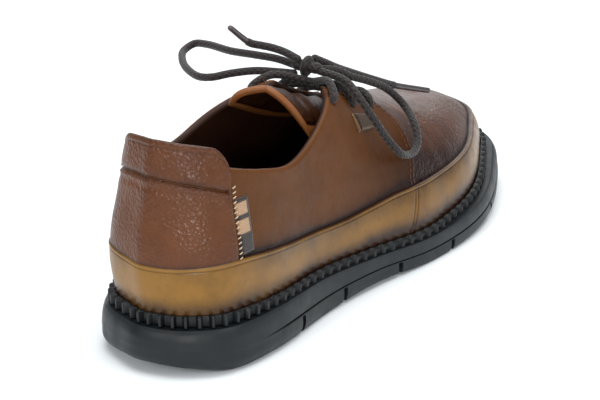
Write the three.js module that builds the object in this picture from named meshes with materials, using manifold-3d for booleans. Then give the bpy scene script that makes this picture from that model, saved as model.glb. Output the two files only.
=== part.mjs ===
// A man's casual derby shoe for the right foot, built from the pieces that a shoemaker puts together.
// Millimetres. +X is the outer (lateral) side, +Y points to the toe and +Z is up.
// The origin lies on the floor, under the middle of the heel.
import * as THREE from "three";
import { mergeVertices } from "three/addons/utils/BufferGeometryUtils.js";
import Module from "manifold-3d";

const wasm = await Module();
wasm.setup();

// Driving sizes
const SOLE_LENGTH = 298;
const BALL_WIDTH = 114;
const HEEL_SEAT = 44; // from the back of the heel to the origin
const SOLE_THICKNESS = 19; // floor to the edge that the upper stands on, at the heel
const TOE_SPRING = 9;
const SOLE_FLARE = 12.5; // how far the sole stands out beyond the upper at the heel
const INSTEP_HEIGHT = 104; // floor to the crest of the last at the top of the throat
const COLLAR_HEIGHT = 90; // floor to the topline at the back of the heel
const BAND_HEIGHT = 27; // the mudguard at the heel
const UPPER_WALL = 2.4;
const QUARTER_STEP = 1.3;
const BAND_LEATHER = 2.2;
const BAND_EDGE = 0.9; // softened top edge of the mudguard
const COUNTER_LEATHER = 1.2;
const TAB_RISE = 7.5; // heel tab above the topline
const TAB_PADDING = 3.2;
const TAB_CORNER = 11;
const GAP = 0.3; // between pieces that touch
const WELT_HEIGHT = 5.5;
const WELT_WIDTH = 3.4;
const WELT_TOOTH = 6.4;
const TOOTH_DEPTH = 1.3;
const SLIT_WIDTH = 2.4;
const SLIT_DEPTH = 4;
const SLIT_TOP_ROW = 3; // row of the tread's profile that the slits reach
const GROOVE_DEPTH = 2.6;
const INSOLE_THICKNESS = 4;
const TONGUE_THICKNESS = 3.2;
const TONGUE_CLEARANCE = 2.2; // below the upper's lining
const TONGUE_WIDTH = 46;
const TONGUE_RISE = 25; // beyond the top of the throat, along the crest
const TONGUE_LAP = 9; // under the vamp
const TONGUE_TAPER = 0.12;
const TONGUE_SAG = 0.8; // share of its length over which the tongue drops
const TONGUE_SINK = 10; // how far the top of the tongue has dropped below the crest
const THROAT_GAP = 29;
const LACE_DIAMETER = 3.6;
const LACE_LIFT = 4.5; // from the last to the middle of a lace that lies on the facings
const HOLE_DIAMETER = 4.4;
const HOLE_INSET = 7.5; // from the facing's edge to the lace holes
const AGLET_DIAMETER = 3.2;
const RIBBON_THICKNESS = 0.8;
const PLATE_THICKNESS = 1.2;
const WELT_REACH = QUARTER_STEP + 2 * GAP + BAND_LEATHER + WELT_WIDTH;

// The widest outline of the sole, as shares of the length and of the ball width
const FOOTPRINT = [
  { at: 0.012, lateral: 0.15, medial: 0.11 },
  { at: 0.06, lateral: 0.29, medial: 0.283 },
  { at: 0.16, lateral: 0.345, medial: 0.36 },
  { at: 0.3, lateral: 0.345, medial: 0.385 },
  { at: 0.42, lateral: 0.39, medial: 0.36 },
  { at: 0.54, lateral: 0.465, medial: 0.397 },
  { at: 0.66, lateral: 0.497, medial: 0.477 },
  { at: 0.76, lateral: 0.465, medial: 0.515 },
  { at: 0.86, lateral: 0.375, medial: 0.485 },
  { at: 0.94, lateral: 0.265, medial: 0.398 },
  { at: 0.985, lateral: 0.1, medial: 0.252 },
];
const TOE_TIP = -0.06;

// The sole along its length: top edge and underside as shares of the sole's thickness and the toe
// spring, arch as a share of the thickness, and the flare as a share of the heel's
const SOLE_ROWS = [
  { at: 0, bed: 1.06, lift: 0.4, arch: 0, flare: 0.9 },
  { at: 0.06, bed: 1.05, lift: 0.06, arch: 0, flare: 0.81 },
  { at: 0.12, bed: 1.02, lift: 0, arch: 0, flare: 0.79 },
  { at: 0.28, bed: 0.89, lift: 0, arch: 0, flare: 0.7 },
  { at: 0.42, bed: 0.73, lift: 0, arch: 0.1, flare: 0.65 },
  { at: 0.56, bed: 0.62, lift: 0, arch: 0, flare: 0.66 },
  { at: 0.72, bed: 0.74, lift: 0, arch: 0, flare: 0.77 },
  { at: 0.85, bed: 0.93, lift: 0.22, arch: 0, flare: 0.9 },
  { at: 0.95, bed: 1.06, lift: 0.68, arch: 0, flare: 0.9 },
  { at: 1, bed: 1.12, lift: 1, arch: 0, flare: 0.87 },
];

// The crest of the last, by its own place along the shoe: height as a share of the instep's
// height, and how far it leans to the inner side as a share of the ball width
const CREST_ROWS = [
  { at: 0.14, height: 1.16, lean: 0 },
  { at: 0.25, height: 1.1, lean: 0 },
  { at: 0.36, height: 1.01, lean: 0 },
  { at: 0.45, height: 0.885, lean: 0 },
  { at: 0.55, height: 0.745, lean: 0.01 },
  { at: 0.64, height: 0.64, lean: 0.025 },
  { at: 0.75, height: 0.53, lean: 0.045 },
  { at: 0.82, height: 0.47, lean: 0.055 },
  { at: 0.885, height: 0.415, lean: 0.065 },
];

// Sections of the upper: the station where each arch meets the crest, how boxy the arch is, its
// swell as a share of the flare, and the height of the mudguard and of the topline as shares of
// theirs at the heel
const SECTION_ROWS = [
  { at: 0, crest: 0.14, full: 2.4, swell: 0.2, band: 0.95, collar: 1 },
  { at: 0.08, crest: 0.2, full: 2.8, swell: 0.2, band: 1, collar: 0.945 },
  { at: 0.17, crest: 0.265, full: 3, swell: 0.16, band: 0.92, collar: 0.865 },
  { at: 0.26, crest: 0.335, full: 3, swell: 0.1, band: 0.82, collar: 0.81 },
  { at: 0.35, crest: 0.415, full: 2.7, swell: 0.04, band: 0.77, collar: 0.9 },
  { at: 0.43, crest: 0.5, full: 2.35, swell: 0.02, band: 0.82, collar: 1.02 },
  { at: 0.5, crest: 0.58, full: 2.2, swell: 0.02, band: 0.88, collar: 1.3 },
  { at: 0.65, crest: 0.705, full: 2.25, swell: 0.06, band: 0.83, collar: 1.6 },
  { at: 0.8, crest: 0.795, full: 2.5, swell: 0.08, band: 0.71, collar: 1.6 },
  { at: 1, crest: 0.885, full: 2.7, swell: 0.08, band: 0.56, collar: 1.6 },
];
const SWELL_TOP = 0.75; // the swell fades out at this share of the collar's height above the sole

const THROAT_TOP = 0.37; // stations of the throat, as shares of the length
const THROAT_END = 0.56;
const QUARTER_FRONT = 0.547;
const COUNTER_FRONT = 0.09;
const HOLE_STATIONS = [0.515, 0.455, 0.395];

// Side profile of the sole, from the floor up: height as a share of the thickness there, and how
// far it stands in from the widest outline, as a share of the ledge that the flare leaves outside
// the welt there
const TREAD_PROFILE = [
  { rise: 0, inset: 1.2 },
  { rise: 0.1, inset: 0.45 },
  { rise: 0.26, inset: 0 },
  { rise: 0.46, inset: 0.05 },
  { rise: 0.5, inset: 0.35 },
];
const MIDSOLE_PROFILE = [
  { rise: 0.5, inset: 0.35 },
  { rise: 0.55, inset: 0.1 },
  { rise: 0.72, inset: 0.15 },
  { rise: 0.9, inset: 0.45 },
  { rise: 1, inset: 0.8 },
];
const SLIT_STATIONS = [0.22, 0.34, 0.47, 0.6, 0.76];

// A smooth curve through one named column of a table, at any place between its rows
function column(rows, name, at) {
  const last = rows.length - 1;
  const x = Math.min(Math.max(at, rows[0].at), rows[last].at);
  let i = 0;
  while (i < last - 1 && x > rows[i + 1].at) i++;
  const slope = (j) => {
    const before = rows[Math.max(j - 1, 0)];
    const after = rows[Math.min(j + 1, last)];
    return (after[name] - before[name]) / (after.at - before.at);
  };
  const span = rows[i + 1].at - rows[i].at;
  const t = (x - rows[i].at) / span;
  const t2 = t * t;
  const t3 = t2 * t;
  return (
    rows[i][name] * (2 * t3 - 3 * t2 + 1) +
    slope(i) * span * (t3 - 2 * t2 + t) +
    rows[i + 1][name] * (3 * t2 - 2 * t3) +
    slope(i + 1) * span * (t3 - t2)
  );
}

const smooth = (t) => {
  const s = Math.min(Math.max(t, 0), 1);
  return s * s * (3 - 2 * s);
};

// The outline as two sides that run from the heel to the toe, each measured along its own length
const OUTLINE_STEPS = 12;
const sides = (() => {
  const point = (x, at) => new THREE.Vector2(x * BALL_WIDTH, at * SOLE_LENGTH - HEEL_SEAT);
  const lateral = FOOTPRINT.map((row) => point(row.lateral, row.at));
  const medial = FOOTPRINT.map((row) => point(-row.medial, row.at)).reverse();
  const loop = [point(0, 0), ...lateral, point(TOE_TIP, 1), ...medial];
  const dense = loop.flatMap((p1, i) => {
    const p0 = loop[(i + loop.length - 1) % loop.length];
    const p2 = loop[(i + 1) % loop.length];
    const p3 = loop[(i + 2) % loop.length];
    const blend = (a, b, c, d, t) =>
      0.5 * (2 * b + (c - a) * t + (2 * a - 5 * b + 4 * c - d) * t * t + (3 * b - a - 3 * c + d) * t * t * t);
    return Array.from({ length: OUTLINE_STEPS }, (_, k) => {
      const t = k / OUTLINE_STEPS;
      return new THREE.Vector2(blend(p0.x, p1.x, p2.x, p3.x, t), blend(p0.y, p1.y, p2.y, p3.y, t));
    });
  });
  const toe = (lateral.length + 1) * OUTLINE_STEPS;
  const measured = (points) => {
    const along = [0];
    points.slice(1).forEach((p, i) => along.push(along[i] + p.distanceTo(points[i])));
    return { points, along, length: along.at(-1) };
  };
  return {
    lateral: measured(dense.slice(0, toe + 1)),
    medial: measured([dense[0], ...dense.slice(toe).reverse()]),
  };
})();

// Round the shoe, u runs from -1 at the toe along the inner side to 0 at the heel and along
// the outer side to 1 at the toe again
const wrap = (u) => (u > 1 ? u - 2 : u < -1 ? u + 2 : u);

function outlinePoint(round) {
  const u = wrap(round);
  const side = u >= 0 ? sides.lateral : sides.medial;
  const reach = Math.abs(u) * side.length;
  let i = 0;
  while (i < side.along.length - 2 && side.along[i + 1] < reach) i++;
  const t = (reach - side.along[i]) / (side.along[i + 1] - side.along[i]);
  return side.points[i].clone().lerp(side.points[i + 1], t);
}

const PLAN_STEP = 0.012;
function outlineNormal(u) {
  const along = outlinePoint(u + PLAN_STEP).sub(outlinePoint(u - PLAN_STEP));
  return new THREE.Vector2(along.y, -along.x).normalize();
}

const station = (u) =>
  ((outlinePoint(u).y + outlinePoint(-u).y) / 2 + HEEL_SEAT) / SOLE_LENGTH;

// u on the outer side where the sole has a given station
function roundAt(at) {
  let low = 0;
  let high = 1;
  for (let k = 0; k < 40; k++) {
    const mid = (low + high) / 2;
    if (station(mid) < at) low = mid;
    else high = mid;
  }
  return (low + high) / 2;
}

const bedHeight = (at) => column(SOLE_ROWS, "bed", at) * SOLE_THICKNESS;
const floorLift = (at) =>
  Math.max(0, column(SOLE_ROWS, "lift", at)) * TOE_SPRING +
  Math.max(0, column(SOLE_ROWS, "arch", at)) * SOLE_THICKNESS;
const flareAt = (at) => column(SOLE_ROWS, "flare", at) * SOLE_FLARE;

// A point of the outline moved in by a given distance
function insetPoint(u, inset) {
  return outlinePoint(u).addScaledVector(outlineNormal(u), -inset);
}

// Everything that one arch of the last needs, from its foot on the sole to its crest
function arch(u) {
  const at = station(u);
  const foot = insetPoint(u, flareAt(at));
  const crestAt = column(SECTION_ROWS, "crest", at);
  const crestX = -column(CREST_ROWS, "lean", crestAt) * BALL_WIDTH;
  const crestY = crestAt * SOLE_LENGTH - HEEL_SEAT;
  const low = bedHeight(at);
  return {
    at,
    foot,
    low,
    rise: column(CREST_ROWS, "height", crestAt) * INSTEP_HEIGHT - low,
    toCrest: new THREE.Vector2(crestX, crestY).sub(foot),
    full: column(SECTION_ROWS, "full", at),
    swell: column(SECTION_ROWS, "swell", at) * SOLE_FLARE,
    out: outlineNormal(u),
  };
}

// A point on the outside of the last: v is 0 at the sole and 1 on the crest, and the arch between
// them is a superellipse that swells a little above the sole
function lastPoint(round, v) {
  const s = arch(wrap(round));
  const turn = (v * Math.PI) / 2;
  const c = Math.max(Math.cos(turn), 0);
  const reach = (c ** s.full + Math.sin(turn) ** s.full) ** (-1 / s.full);
  const inward = 1 - reach * c;
  const height = reach * Math.sin(turn) * s.rise;
  const swellTop = SWELL_TOP * (COLLAR_HEIGHT - SOLE_THICKNESS);
  const bulge = s.swell * Math.sin(Math.PI * Math.min(height / swellTop, 1)) ** 2;
  const plan = s.foot.clone().addScaledVector(s.toCrest, inward).addScaledVector(s.out, bulge);
  return new THREE.Vector3(plan.x, plan.y, s.low + height);
}

const NORMAL_STEP = 0.008;
const NEAR_CREST = 0.985;
function lastNormal(u, v) {
  if (v > NEAR_CREST) {
    return sideNormal(u, NEAR_CREST).add(sideNormal(-u, NEAR_CREST)).normalize();
  }
  return sideNormal(u, v);
}
function sideNormal(u, v) {
  const along = lastPoint(u + NORMAL_STEP, v).sub(lastPoint(u - NORMAL_STEP, v));
  const low = Math.max(v - NORMAL_STEP, 0);
  const up = lastPoint(u, v + NORMAL_STEP).sub(lastPoint(u, low));
  return along.cross(up).normalize();
}
const skinPoint = (u, v, offset) => lastPoint(u, v).addScaledVector(lastNormal(u, v), offset);

// v where an arch reaches a height above the floor
function heightToV(u, height) {
  const s = arch(u);
  const b = Math.min(Math.max((height - s.low) / s.rise, 0), 0.9999);
  return (Math.atan(b / (1 - b ** s.full) ** (1 / s.full)) * 2) / Math.PI;
}

// v where an arch comes within a distance of the crest, measured level
function crestToV(u, distance) {
  const s = arch(u);
  const c = distance / s.toCrest.length();
  if (c <= 0) return 1;
  if (c >= 1) return 0;
  return (Math.atan((1 - c ** s.full) ** (1 / s.full) / c) * 2) / Math.PI;
}

const bandTop = (u) =>
  heightToV(u, arch(u).low + column(SECTION_ROWS, "band", station(u)) * BAND_HEIGHT);

// Half the throat's opening: nearly parallel, with a round end over the toes
const THROAT_ROUND = 12;
function throatHalf(at) {
  const t = Math.min(Math.max((THROAT_END - at) / (THROAT_END - THROAT_TOP), 0), 1.4);
  const round = Math.sqrt(Math.max(0, 1 - (1 - Math.min(t * THROAT_ROUND, 1)) ** 2));
  return (THROAT_GAP / 2) * (0.86 + 0.14 * t) * round;
}

// The free edge of the upper: the collar's topline, which turns into the throat by a soft minimum
const CORNER = 0.02;
function edgeV(u) {
  const at = station(u);
  if (at >= THROAT_END) return 1;
  const collar = heightToV(u, column(SECTION_ROWS, "collar", at) * COLLAR_HEIGHT);
  const throat = crestToV(u, throatHalf(at));
  const d = collar - throat;
  return (collar + throat - Math.sqrt(d * d + CORNER * CORNER)) / 2;
}

// Columns of the grid round the shoe, from the heel over the outer side and back along the inner
const EDGE_WIDTH = 0.004;
const COUNTER_COLUMNS = 6;
const QUARTER_COLUMNS = 12;
const VAMP_COLUMNS = 12;
const heelRound = roundAt(COUNTER_FRONT);
const quarterRound = roundAt(QUARTER_FRONT);
const throatRound = roundAt(THROAT_END);
const spread = (from, to, count) =>
  Array.from({ length: count }, (_, i) => from + ((to - from) * i) / count);
const outerSide = [
  ...spread(0, heelRound, COUNTER_COLUMNS),
  ...spread(heelRound, quarterRound - EDGE_WIDTH, QUARTER_COLUMNS),
  quarterRound - EDGE_WIDTH,
  quarterRound + EDGE_WIDTH,
  ...spread(throatRound, 1, VAMP_COLUMNS),
];
const columns = [...outerSide, 1, ...outerSide.slice(1).reverse().map((u) => -u)];
const mirror = (i) => (columns.length - i) % columns.length;

// How far the outer skin stands off the last: the quarters lie over the vamp
const skinOffset = (u) => (Math.abs(u) < quarterRound ? QUARTER_STEP : 0);

// The quarters' front edge bows forward between the mudguard and the facing, and the columns of
// the grid near it bow with it
const BOW_REACH = 0.02;
const BOW_LOW = 0.3;
const BOW_HIGH = 0.8;
const BOW_SPREAD = 0.12;
function bowed(u, v) {
  const rise = Math.min(Math.max((v - BOW_LOW) / (BOW_HIGH - BOW_LOW), 0), 1);
  const near = 1 - Math.min(Math.abs(Math.abs(u) - quarterRound) / BOW_SPREAD, 1);
  return u + Math.sign(u) * BOW_REACH * Math.sin(Math.PI * rise) * smooth(near);
}

// Triangles between two rows of points, facing out when the rows run round and then up
function strip(low, high, closed) {
  const count = low.length;
  const steps = Array.from({ length: closed ? count : count - 1 }, (_, i) => i);
  return steps.flatMap((i) => {
    const n = (i + 1) % count;
    return [low[i], low[n], high[n], low[i], high[n], high[i]];
  });
}

// A geometry from triangles whose corners are shared points, without those that have closed up
function geometryOf(corners) {
  const order = new Map();
  for (const p of corners) {
    if (!order.has(p)) order.set(p, order.size);
  }
  const index = [];
  for (let i = 0; i < corners.length; i += 3) {
    const [a, b, c] = corners.slice(i, i + 3).map((p) => order.get(p));
    if (a !== b && b !== c && c !== a) index.push(a, b, c);
  }
  return new THREE.BufferGeometry().setFromPoints([...order.keys()]).setIndex(index);
}

// A wall between two grids of points with the same rows and columns
function wall(outer, inner, closed) {
  const faces = [];
  for (let j = 0; j + 1 < outer.length; j++) {
    faces.push(...strip(outer[j], outer[j + 1], closed), ...strip(inner[j + 1], inner[j], closed));
  }
  faces.push(...strip(inner[0], outer[0], closed), ...strip(outer.at(-1), inner.at(-1), closed));
  if (!closed) {
    const edge = (rows, k) => rows.map((row) => row.at(k));
    faces.push(...strip(edge(outer, 0), edge(inner, 0), false));
    faces.push(...strip(edge(inner, -1), edge(outer, -1), false));
  }
  return geometryOf(faces);
}

// Solids for cutting and joining
function solidOf(geometry) {
  let bare = geometry;
  if (geometry.attributes.normal) {
    bare = geometry.clone();
    bare.deleteAttribute("normal");
    bare.deleteAttribute("uv");
    bare = mergeVertices(bare);
  }
  return new wasm.Manifold(
    new wasm.Mesh({
      numProp: 3,
      vertProperties: new Float32Array(bare.attributes.position.array),
      triVerts: new Uint32Array(bare.index.array),
    }),
  );
}
function geometryOfSolid(solid) {
  const mesh = solid.getMesh();
  return new THREE.BufferGeometry()
    .setAttribute("position", new THREE.BufferAttribute(mesh.vertProperties, mesh.numProp))
    .setIndex(new THREE.BufferAttribute(mesh.triVerts, 1));
}

// Upper: vamp and quarters as one hollow wall, open at the collar, the throat and underneath
const BAND_ROWS = 3;
const WALL_ROWS = 8;
const upperLevels = [
  ...spread(0, 1, BAND_ROWS).map((t) => (u) => t * bandTop(u)),
  ...spread(0, 1, WALL_ROWS).map((t) => (u) => bandTop(u) + t * (edgeV(u) - bandTop(u))),
  edgeV,
];
function upperGrid(offsetOf) {
  const rows = upperLevels.map((level, j) =>
    columns.map((u) => {
      const v = level(u);
      const p = skinPoint(bowed(u, v), v, offsetOf(u));
      if (j === 0) p.z = arch(u).low + GAP;
      return p;
    }),
  );
  const top = rows.at(-1);
  columns.forEach((u, i) => {
    if (edgeV(u) === 1) top[mirror(i)] = top[i];
  });
  return rows;
}
function buildUpper() {
  const outer = upperGrid(skinOffset);
  const inner = upperGrid(() => -UPPER_WALL);
  const faces = strip(inner[0], outer[0], true);
  for (let j = 0; j + 1 < outer.length; j++) {
    faces.push(...strip(outer[j], outer[j + 1], true), ...strip(inner[j + 1], inner[j], true));
  }
  columns.forEach((u, i) => {
    const n = (i + 1) % columns.length;
    if (edgeV(u) === 1 && edgeV(columns[n]) === 1) return;
    faces.push(
      ...strip([outer.at(-1)[i], outer.at(-1)[n]], [inner.at(-1)[i], inner.at(-1)[n]], false),
    );
  });
  let solid = solidOf(geometryOf(faces));
  for (const hole of laceHoles()) solid = solid.subtract(hole);
  return geometryOfSolid(solid);
}

// A place on the upper by the station of its arch and its level distance from the crest
function crestSide(at, distance) {
  const u = (distance < 0 ? -1 : 1) * roundAt(at);
  return { u, v: crestToV(u, Math.abs(distance)) };
}
function laceHoles() {
  return HOLE_STATIONS.flatMap((at) =>
    [1, -1].map((side) => {
      const { u, v } = crestSide(at, side * (throatHalf(at) + HOLE_INSET));
      const centre = skinPoint(u, v, 0);
      const bar = new THREE.CylinderGeometry(HOLE_DIAMETER / 2, HOLE_DIAMETER / 2, 12, 8);
      const turn = new THREE.Quaternion().setFromUnitVectors(new THREE.Vector3(0, 1, 0), lastNormal(u, v));
      bar.applyQuaternion(turn).translate(centre.x, centre.y, centre.z);
      return solidOf(bar);
    }),
  );
}

// Mudguard: a band round the whole upper, with a softened top edge
function buildMudguard() {
  const shares = [...spread(0, 1, BAND_ROWS), 1 - BAND_EDGE / BAND_HEIGHT, 1];
  const grid = (offset, edgeDrop) =>
    shares.map((t) =>
      columns.map((u) => {
        const p = skinPoint(u, t * bandTop(u), skinOffset(u) + offset - (t === 1 ? edgeDrop : 0));
        if (t === 0) p.z = arch(u).low + GAP;
        return p;
      }),
    );
  return wall(grid(GAP + BAND_LEATHER, BAND_EDGE), grid(GAP, 0), true);
}

// Heel counter: a patch over the back of the quarters that rises above the topline as a padded tab
const COUNTER_ROWS = 6;
const TAB_ROWS = 3;
function buildCounter() {
  const last = columns.indexOf(heelRound);
  const across = [...columns.slice(-last), ...columns.slice(0, last + 1)];
  const collar = (u) => column(SECTION_ROWS, "collar", station(u)) * COLLAR_HEIGHT;
  const tabTop = (u) => {
    const toSide = Math.min(((heelRound - Math.abs(u)) * sides.lateral.length) / TAB_CORNER, 1);
    return collar(u) + TAB_RISE - TAB_CORNER * (1 - Math.sqrt(1 - (1 - toSide) ** 2));
  };
  const foot = (u) => bandTop(u) + heightToV(u, arch(u).low + 2 * GAP);
  const seam = (u) => heightToV(u, collar(u) + GAP);
  const levels = [
    ...spread(0, 1, COUNTER_ROWS).map((t) => (u) => foot(u) + t * (seam(u) - foot(u))),
    seam,
    ...spread(0, 1, TAB_ROWS).map((t) => (u) => {
      const from = collar(u) + 3 * GAP;
      return heightToV(u, from + t * (Math.max(tabTop(u), from + GAP) - from));
    }),
    (u) => heightToV(u, Math.max(tabTop(u), collar(u) + 4 * GAP)),
  ];
  const face = QUARTER_STEP + GAP;
  const grid = (offsetOf) => levels.map((level, j) => across.map((u) => skinPoint(u, level(u), offsetOf(j))));
  return wall(
    grid(() => face + COUNTER_LEATHER),
    grid((j) => (j > COUNTER_ROWS ? face - TAB_PADDING : face)),
    false,
  );
}

// Sole: a side profile swept round the outline, closed above and below by rungs from side to side
function soleRing(row, trim) {
  return columns.map((u) => {
    const at = station(u);
    const low = floorLift(at);
    const p = insetPoint(u, row.inset * (flareAt(at) - WELT_REACH));
    return new THREE.Vector3(p.x, p.y, low + row.rise * (bedHeight(at) - low) + trim);
  });
}
function rungs(ring, facingDown) {
  const faces = [];
  for (let k = 0; k < ring.length / 2; k++) {
    const [a, b, c, d] = [ring[mirror(k)], ring[k], ring[k + 1], ring[mirror(k + 1)]];
    faces.push(...(facingDown ? [a, c, b, a, d, c] : [a, b, c, a, c, d]));
  }
  return faces;
}
function slab(rings) {
  const faces = [...rungs(rings[0], true), ...rungs(rings.at(-1), false)];
  for (let j = 0; j + 1 < rings.length; j++) faces.push(...strip(rings[j], rings[j + 1], true));
  return geometryOf(faces);
}
function buildOutsole() {
  let solid = solidOf(slab(TREAD_PROFILE.map((row) => soleRing(row, 0))));
  for (const at of SLIT_STATIONS) {
    const u = roundAt(at);
    const low = floorLift(at);
    const top = low + TREAD_PROFILE[SLIT_TOP_ROW].rise * (bedHeight(at) - low);
    const cut = (wide, tall, x, z) => {
      const box = new THREE.BoxGeometry(wide, SLIT_WIDTH, tall);
      return solidOf(box.translate(x, at * SOLE_LENGTH - HEEL_SEAT, z));
    };
    for (const side of [1, -1]) {
      const edge = outlinePoint(side * u).x;
      solid = solid.subtract(cut(2 * SLIT_DEPTH, top - low + 2 * GROOVE_DEPTH, edge, (top + low) / 2 - GROOVE_DEPTH));
    }
    solid = solid.subtract(cut(2 * BALL_WIDTH, 2 * GROOVE_DEPTH, 0, low));
  }
  return geometryOfSolid(solid);
}
const buildMidsole = () =>
  slab(MIDSOLE_PROFILE.map((row, j) => soleRing(row, j === 0 ? GAP : 0)));

// Welt: a ribbed strip that stands on the rim of the sole, round the foot of the mudguard
const STEP_RUN = 0.03; // the welt follows the quarters' step in a longer sweep
function buildWelt() {
  const teeth = Math.round((sides.lateral.length + sides.medial.length) / WELT_TOOTH);
  const around = Array.from({ length: 2 * teeth }, (_, k) => k / teeth);
  const at = (u, height, out) => {
    const low = bedHeight(station(u));
    const v = heightToV(u, low + height);
    const stepped = QUARTER_STEP * smooth(1 + (quarterRound + EDGE_WIDTH - Math.abs(u)) / STEP_RUN);
    const p = skinPoint(u, v, stepped + 2 * GAP + BAND_LEATHER);
    const n = outlineNormal(u);
    return new THREE.Vector3(p.x + n.x * out, p.y + n.y * out, low + GAP + height);
  };
  const rows = [0, WELT_HEIGHT];
  const inner = rows.map((height) => around.map((u) => at(wrap(u), height, 0)));
  const outer = rows.map((height) =>
    around.map((u, k) => {
      const p = at(wrap(u), 0, WELT_WIDTH - (k % 2 ? TOOTH_DEPTH : 0));
      return p.setZ(p.z + height);
    }),
  );
  return wall(outer, inner, true);
}

function buildInsole() {
  const rings = [GAP, GAP + INSOLE_THICKNESS].map((height) =>
    columns.map((u) => {
      const at = station(u);
      const p = insetPoint(u, flareAt(at) + UPPER_WALL + 2 * GAP);
      return new THREE.Vector3(p.x, p.y, bedHeight(at) + height);
    }),
  );
  return slab(rings);
}

// Tongue: a padded sheet under the throat, carried along the crest
const TONGUE_COLUMNS = 8;
const TONGUE_ROWS = 11;
function buildTongue() {
  const front = THROAT_END + TONGUE_LAP / SOLE_LENGTH;
  const top = THROAT_TOP - TONGUE_RISE / SOLE_LENGTH;
  const grid = (depth) =>
    Array.from({ length: TONGUE_ROWS + 1 }, (_, j) => {
      const t = j / TONGUE_ROWS;
      return Array.from({ length: TONGUE_COLUMNS + 1 }, (_, k) => {
        const side = (2 * k) / TONGUE_COLUMNS - 1;
        const half = (TONGUE_WIDTH / 2) * (1 - TONGUE_TAPER * t);
        const { u, v } = crestSide(top + (front - top) * t, side * half);
        const edge = Math.abs(side) === 1 || j === 0 || j === TONGUE_ROWS ? TONGUE_THICKNESS / 4 : 0;
        const p = skinPoint(u, v, -UPPER_WALL - TONGUE_CLEARANCE - (depth ? depth - edge : edge));
        return p.setZ(p.z - TONGUE_SINK * (1 - smooth(t / TONGUE_SAG)));
      });
    });
  return wall(grid(0), grid(TONGUE_THICKNESS), false);
}

// A patch of given thickness that lies on the quarter between four corners
function buildPatch(corners, steps, thickness) {
  const grid = (offset) =>
    Array.from({ length: steps + 1 }, (_, j) =>
      Array.from({ length: steps + 1 }, (_, k) => {
        const [s, t] = [k / steps, j / steps];
        const mix = (name) =>
          (1 - t) * ((1 - s) * corners[0][name] + s * corners[1][name]) +
          t * ((1 - s) * corners[3][name] + s * corners[2][name]);
        return skinPoint(mix("u"), mix("v"), QUARTER_STEP + GAP + offset);
      }),
    );
  return wall(grid(thickness), grid(0), false);
}

// Ribbon loop that is sewn in at the counter's front edge
const RIBBON_BACK = 0.006;
const RIBBON_FRONT = 0.036;
const RIBBON_HEIGHTS = [47, 73];
const PATCH_STEPS = 4;
function buildRibbon() {
  const corner = (round, height) => {
    const u = heelRound + round;
    return { u, v: heightToV(u, height) };
  };
  const [low, high] = RIBBON_HEIGHTS;
  const corners = [
    corner(RIBBON_BACK, low),
    corner(RIBBON_FRONT, low),
    corner(RIBBON_FRONT, high),
    corner(RIBBON_BACK, high),
  ];
  return buildPatch(corners, PATCH_STEPS, RIBBON_THICKNESS);
}

// Plate beside the lace holes of the outer facing, set by stations and by distances from the crest
const PLATE_STATIONS = [0.437, 0.492];
const PLATE_REACH = [31.5, 25.5];
function buildPlate() {
  const [back, front] = PLATE_STATIONS;
  const [low, high] = PLATE_REACH;
  const corners = [
    crestSide(back, low),
    crestSide(front, low),
    crestSide(front, high),
    crestSide(back, high),
  ];
  return buildPatch(corners, PATCH_STEPS, PLATE_THICKNESS);
}

// Laces
const CORD_SIDES = 8;
const CORD_STEP = 2.6; // in diameters
const point = (x, y, z) => new THREE.Vector3(x, y, z);
function cord(points, diameter) {
  const curve = new THREE.CatmullRomCurve3(points, false, "centripetal");
  const ring = Array.from({ length: CORD_SIDES }, (_, k) => {
    const turn = (2 * Math.PI * k) / CORD_SIDES;
    return new THREE.Vector2(Math.cos(turn), Math.sin(turn)).multiplyScalar(diameter / 2);
  });
  return new THREE.ExtrudeGeometry(new THREE.Shape(ring), {
    steps: Math.max(1, Math.ceil(curve.getLength() / (CORD_STEP * diameter))),
    extrudePath: curve,
    bevelEnabled: false,
  });
}
function joined(cords) {
  return geometryOfSolid(cords.map(solidOf).reduce((whole, next) => whole.add(next)));
}

// The laced part: a bar over the front pair of holes, two crossings, and the ends up to the knot
// Half of a lace across the throat: share of the way to its hole, and how far it stands off the last
const LACE_DIP = -1.7;
const ACROSS = [
  { share: -1, lift: LACE_LIFT },
  { share: -0.66, lift: LACE_LIFT },
  { share: 0, lift: LACE_DIP },
  { share: 0.66, lift: LACE_LIFT },
  { share: 1, lift: LACE_LIFT },
];
function buildCrossings() {
  const over = (from, to) => {
    const [start, end] = [HOLE_STATIONS[from], HOLE_STATIONS[to]];
    const points = ACROSS.map(({ share, lift }) => {
      const at = start + ((end - start) * (share + 1)) / 2;
      const { u, v } = crestSide(at, share * (throatHalf(at) + HOLE_INSET));
      return skinPoint(u, v, lift);
    });
    return cord(points, LACE_DIAMETER);
  };
  return joined([over(0, 0), over(0, 1), over(1, 0), over(1, 2), over(2, 1)]);
}

const KNOT = point(-3.5, 104, 90.4);
const KNOT_RADII = point(4.4, 4, 4.6);
const buildKnot = () =>
  new THREE.SphereGeometry(1, 12, 8).scale(...KNOT_RADII).translate(...KNOT);

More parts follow.
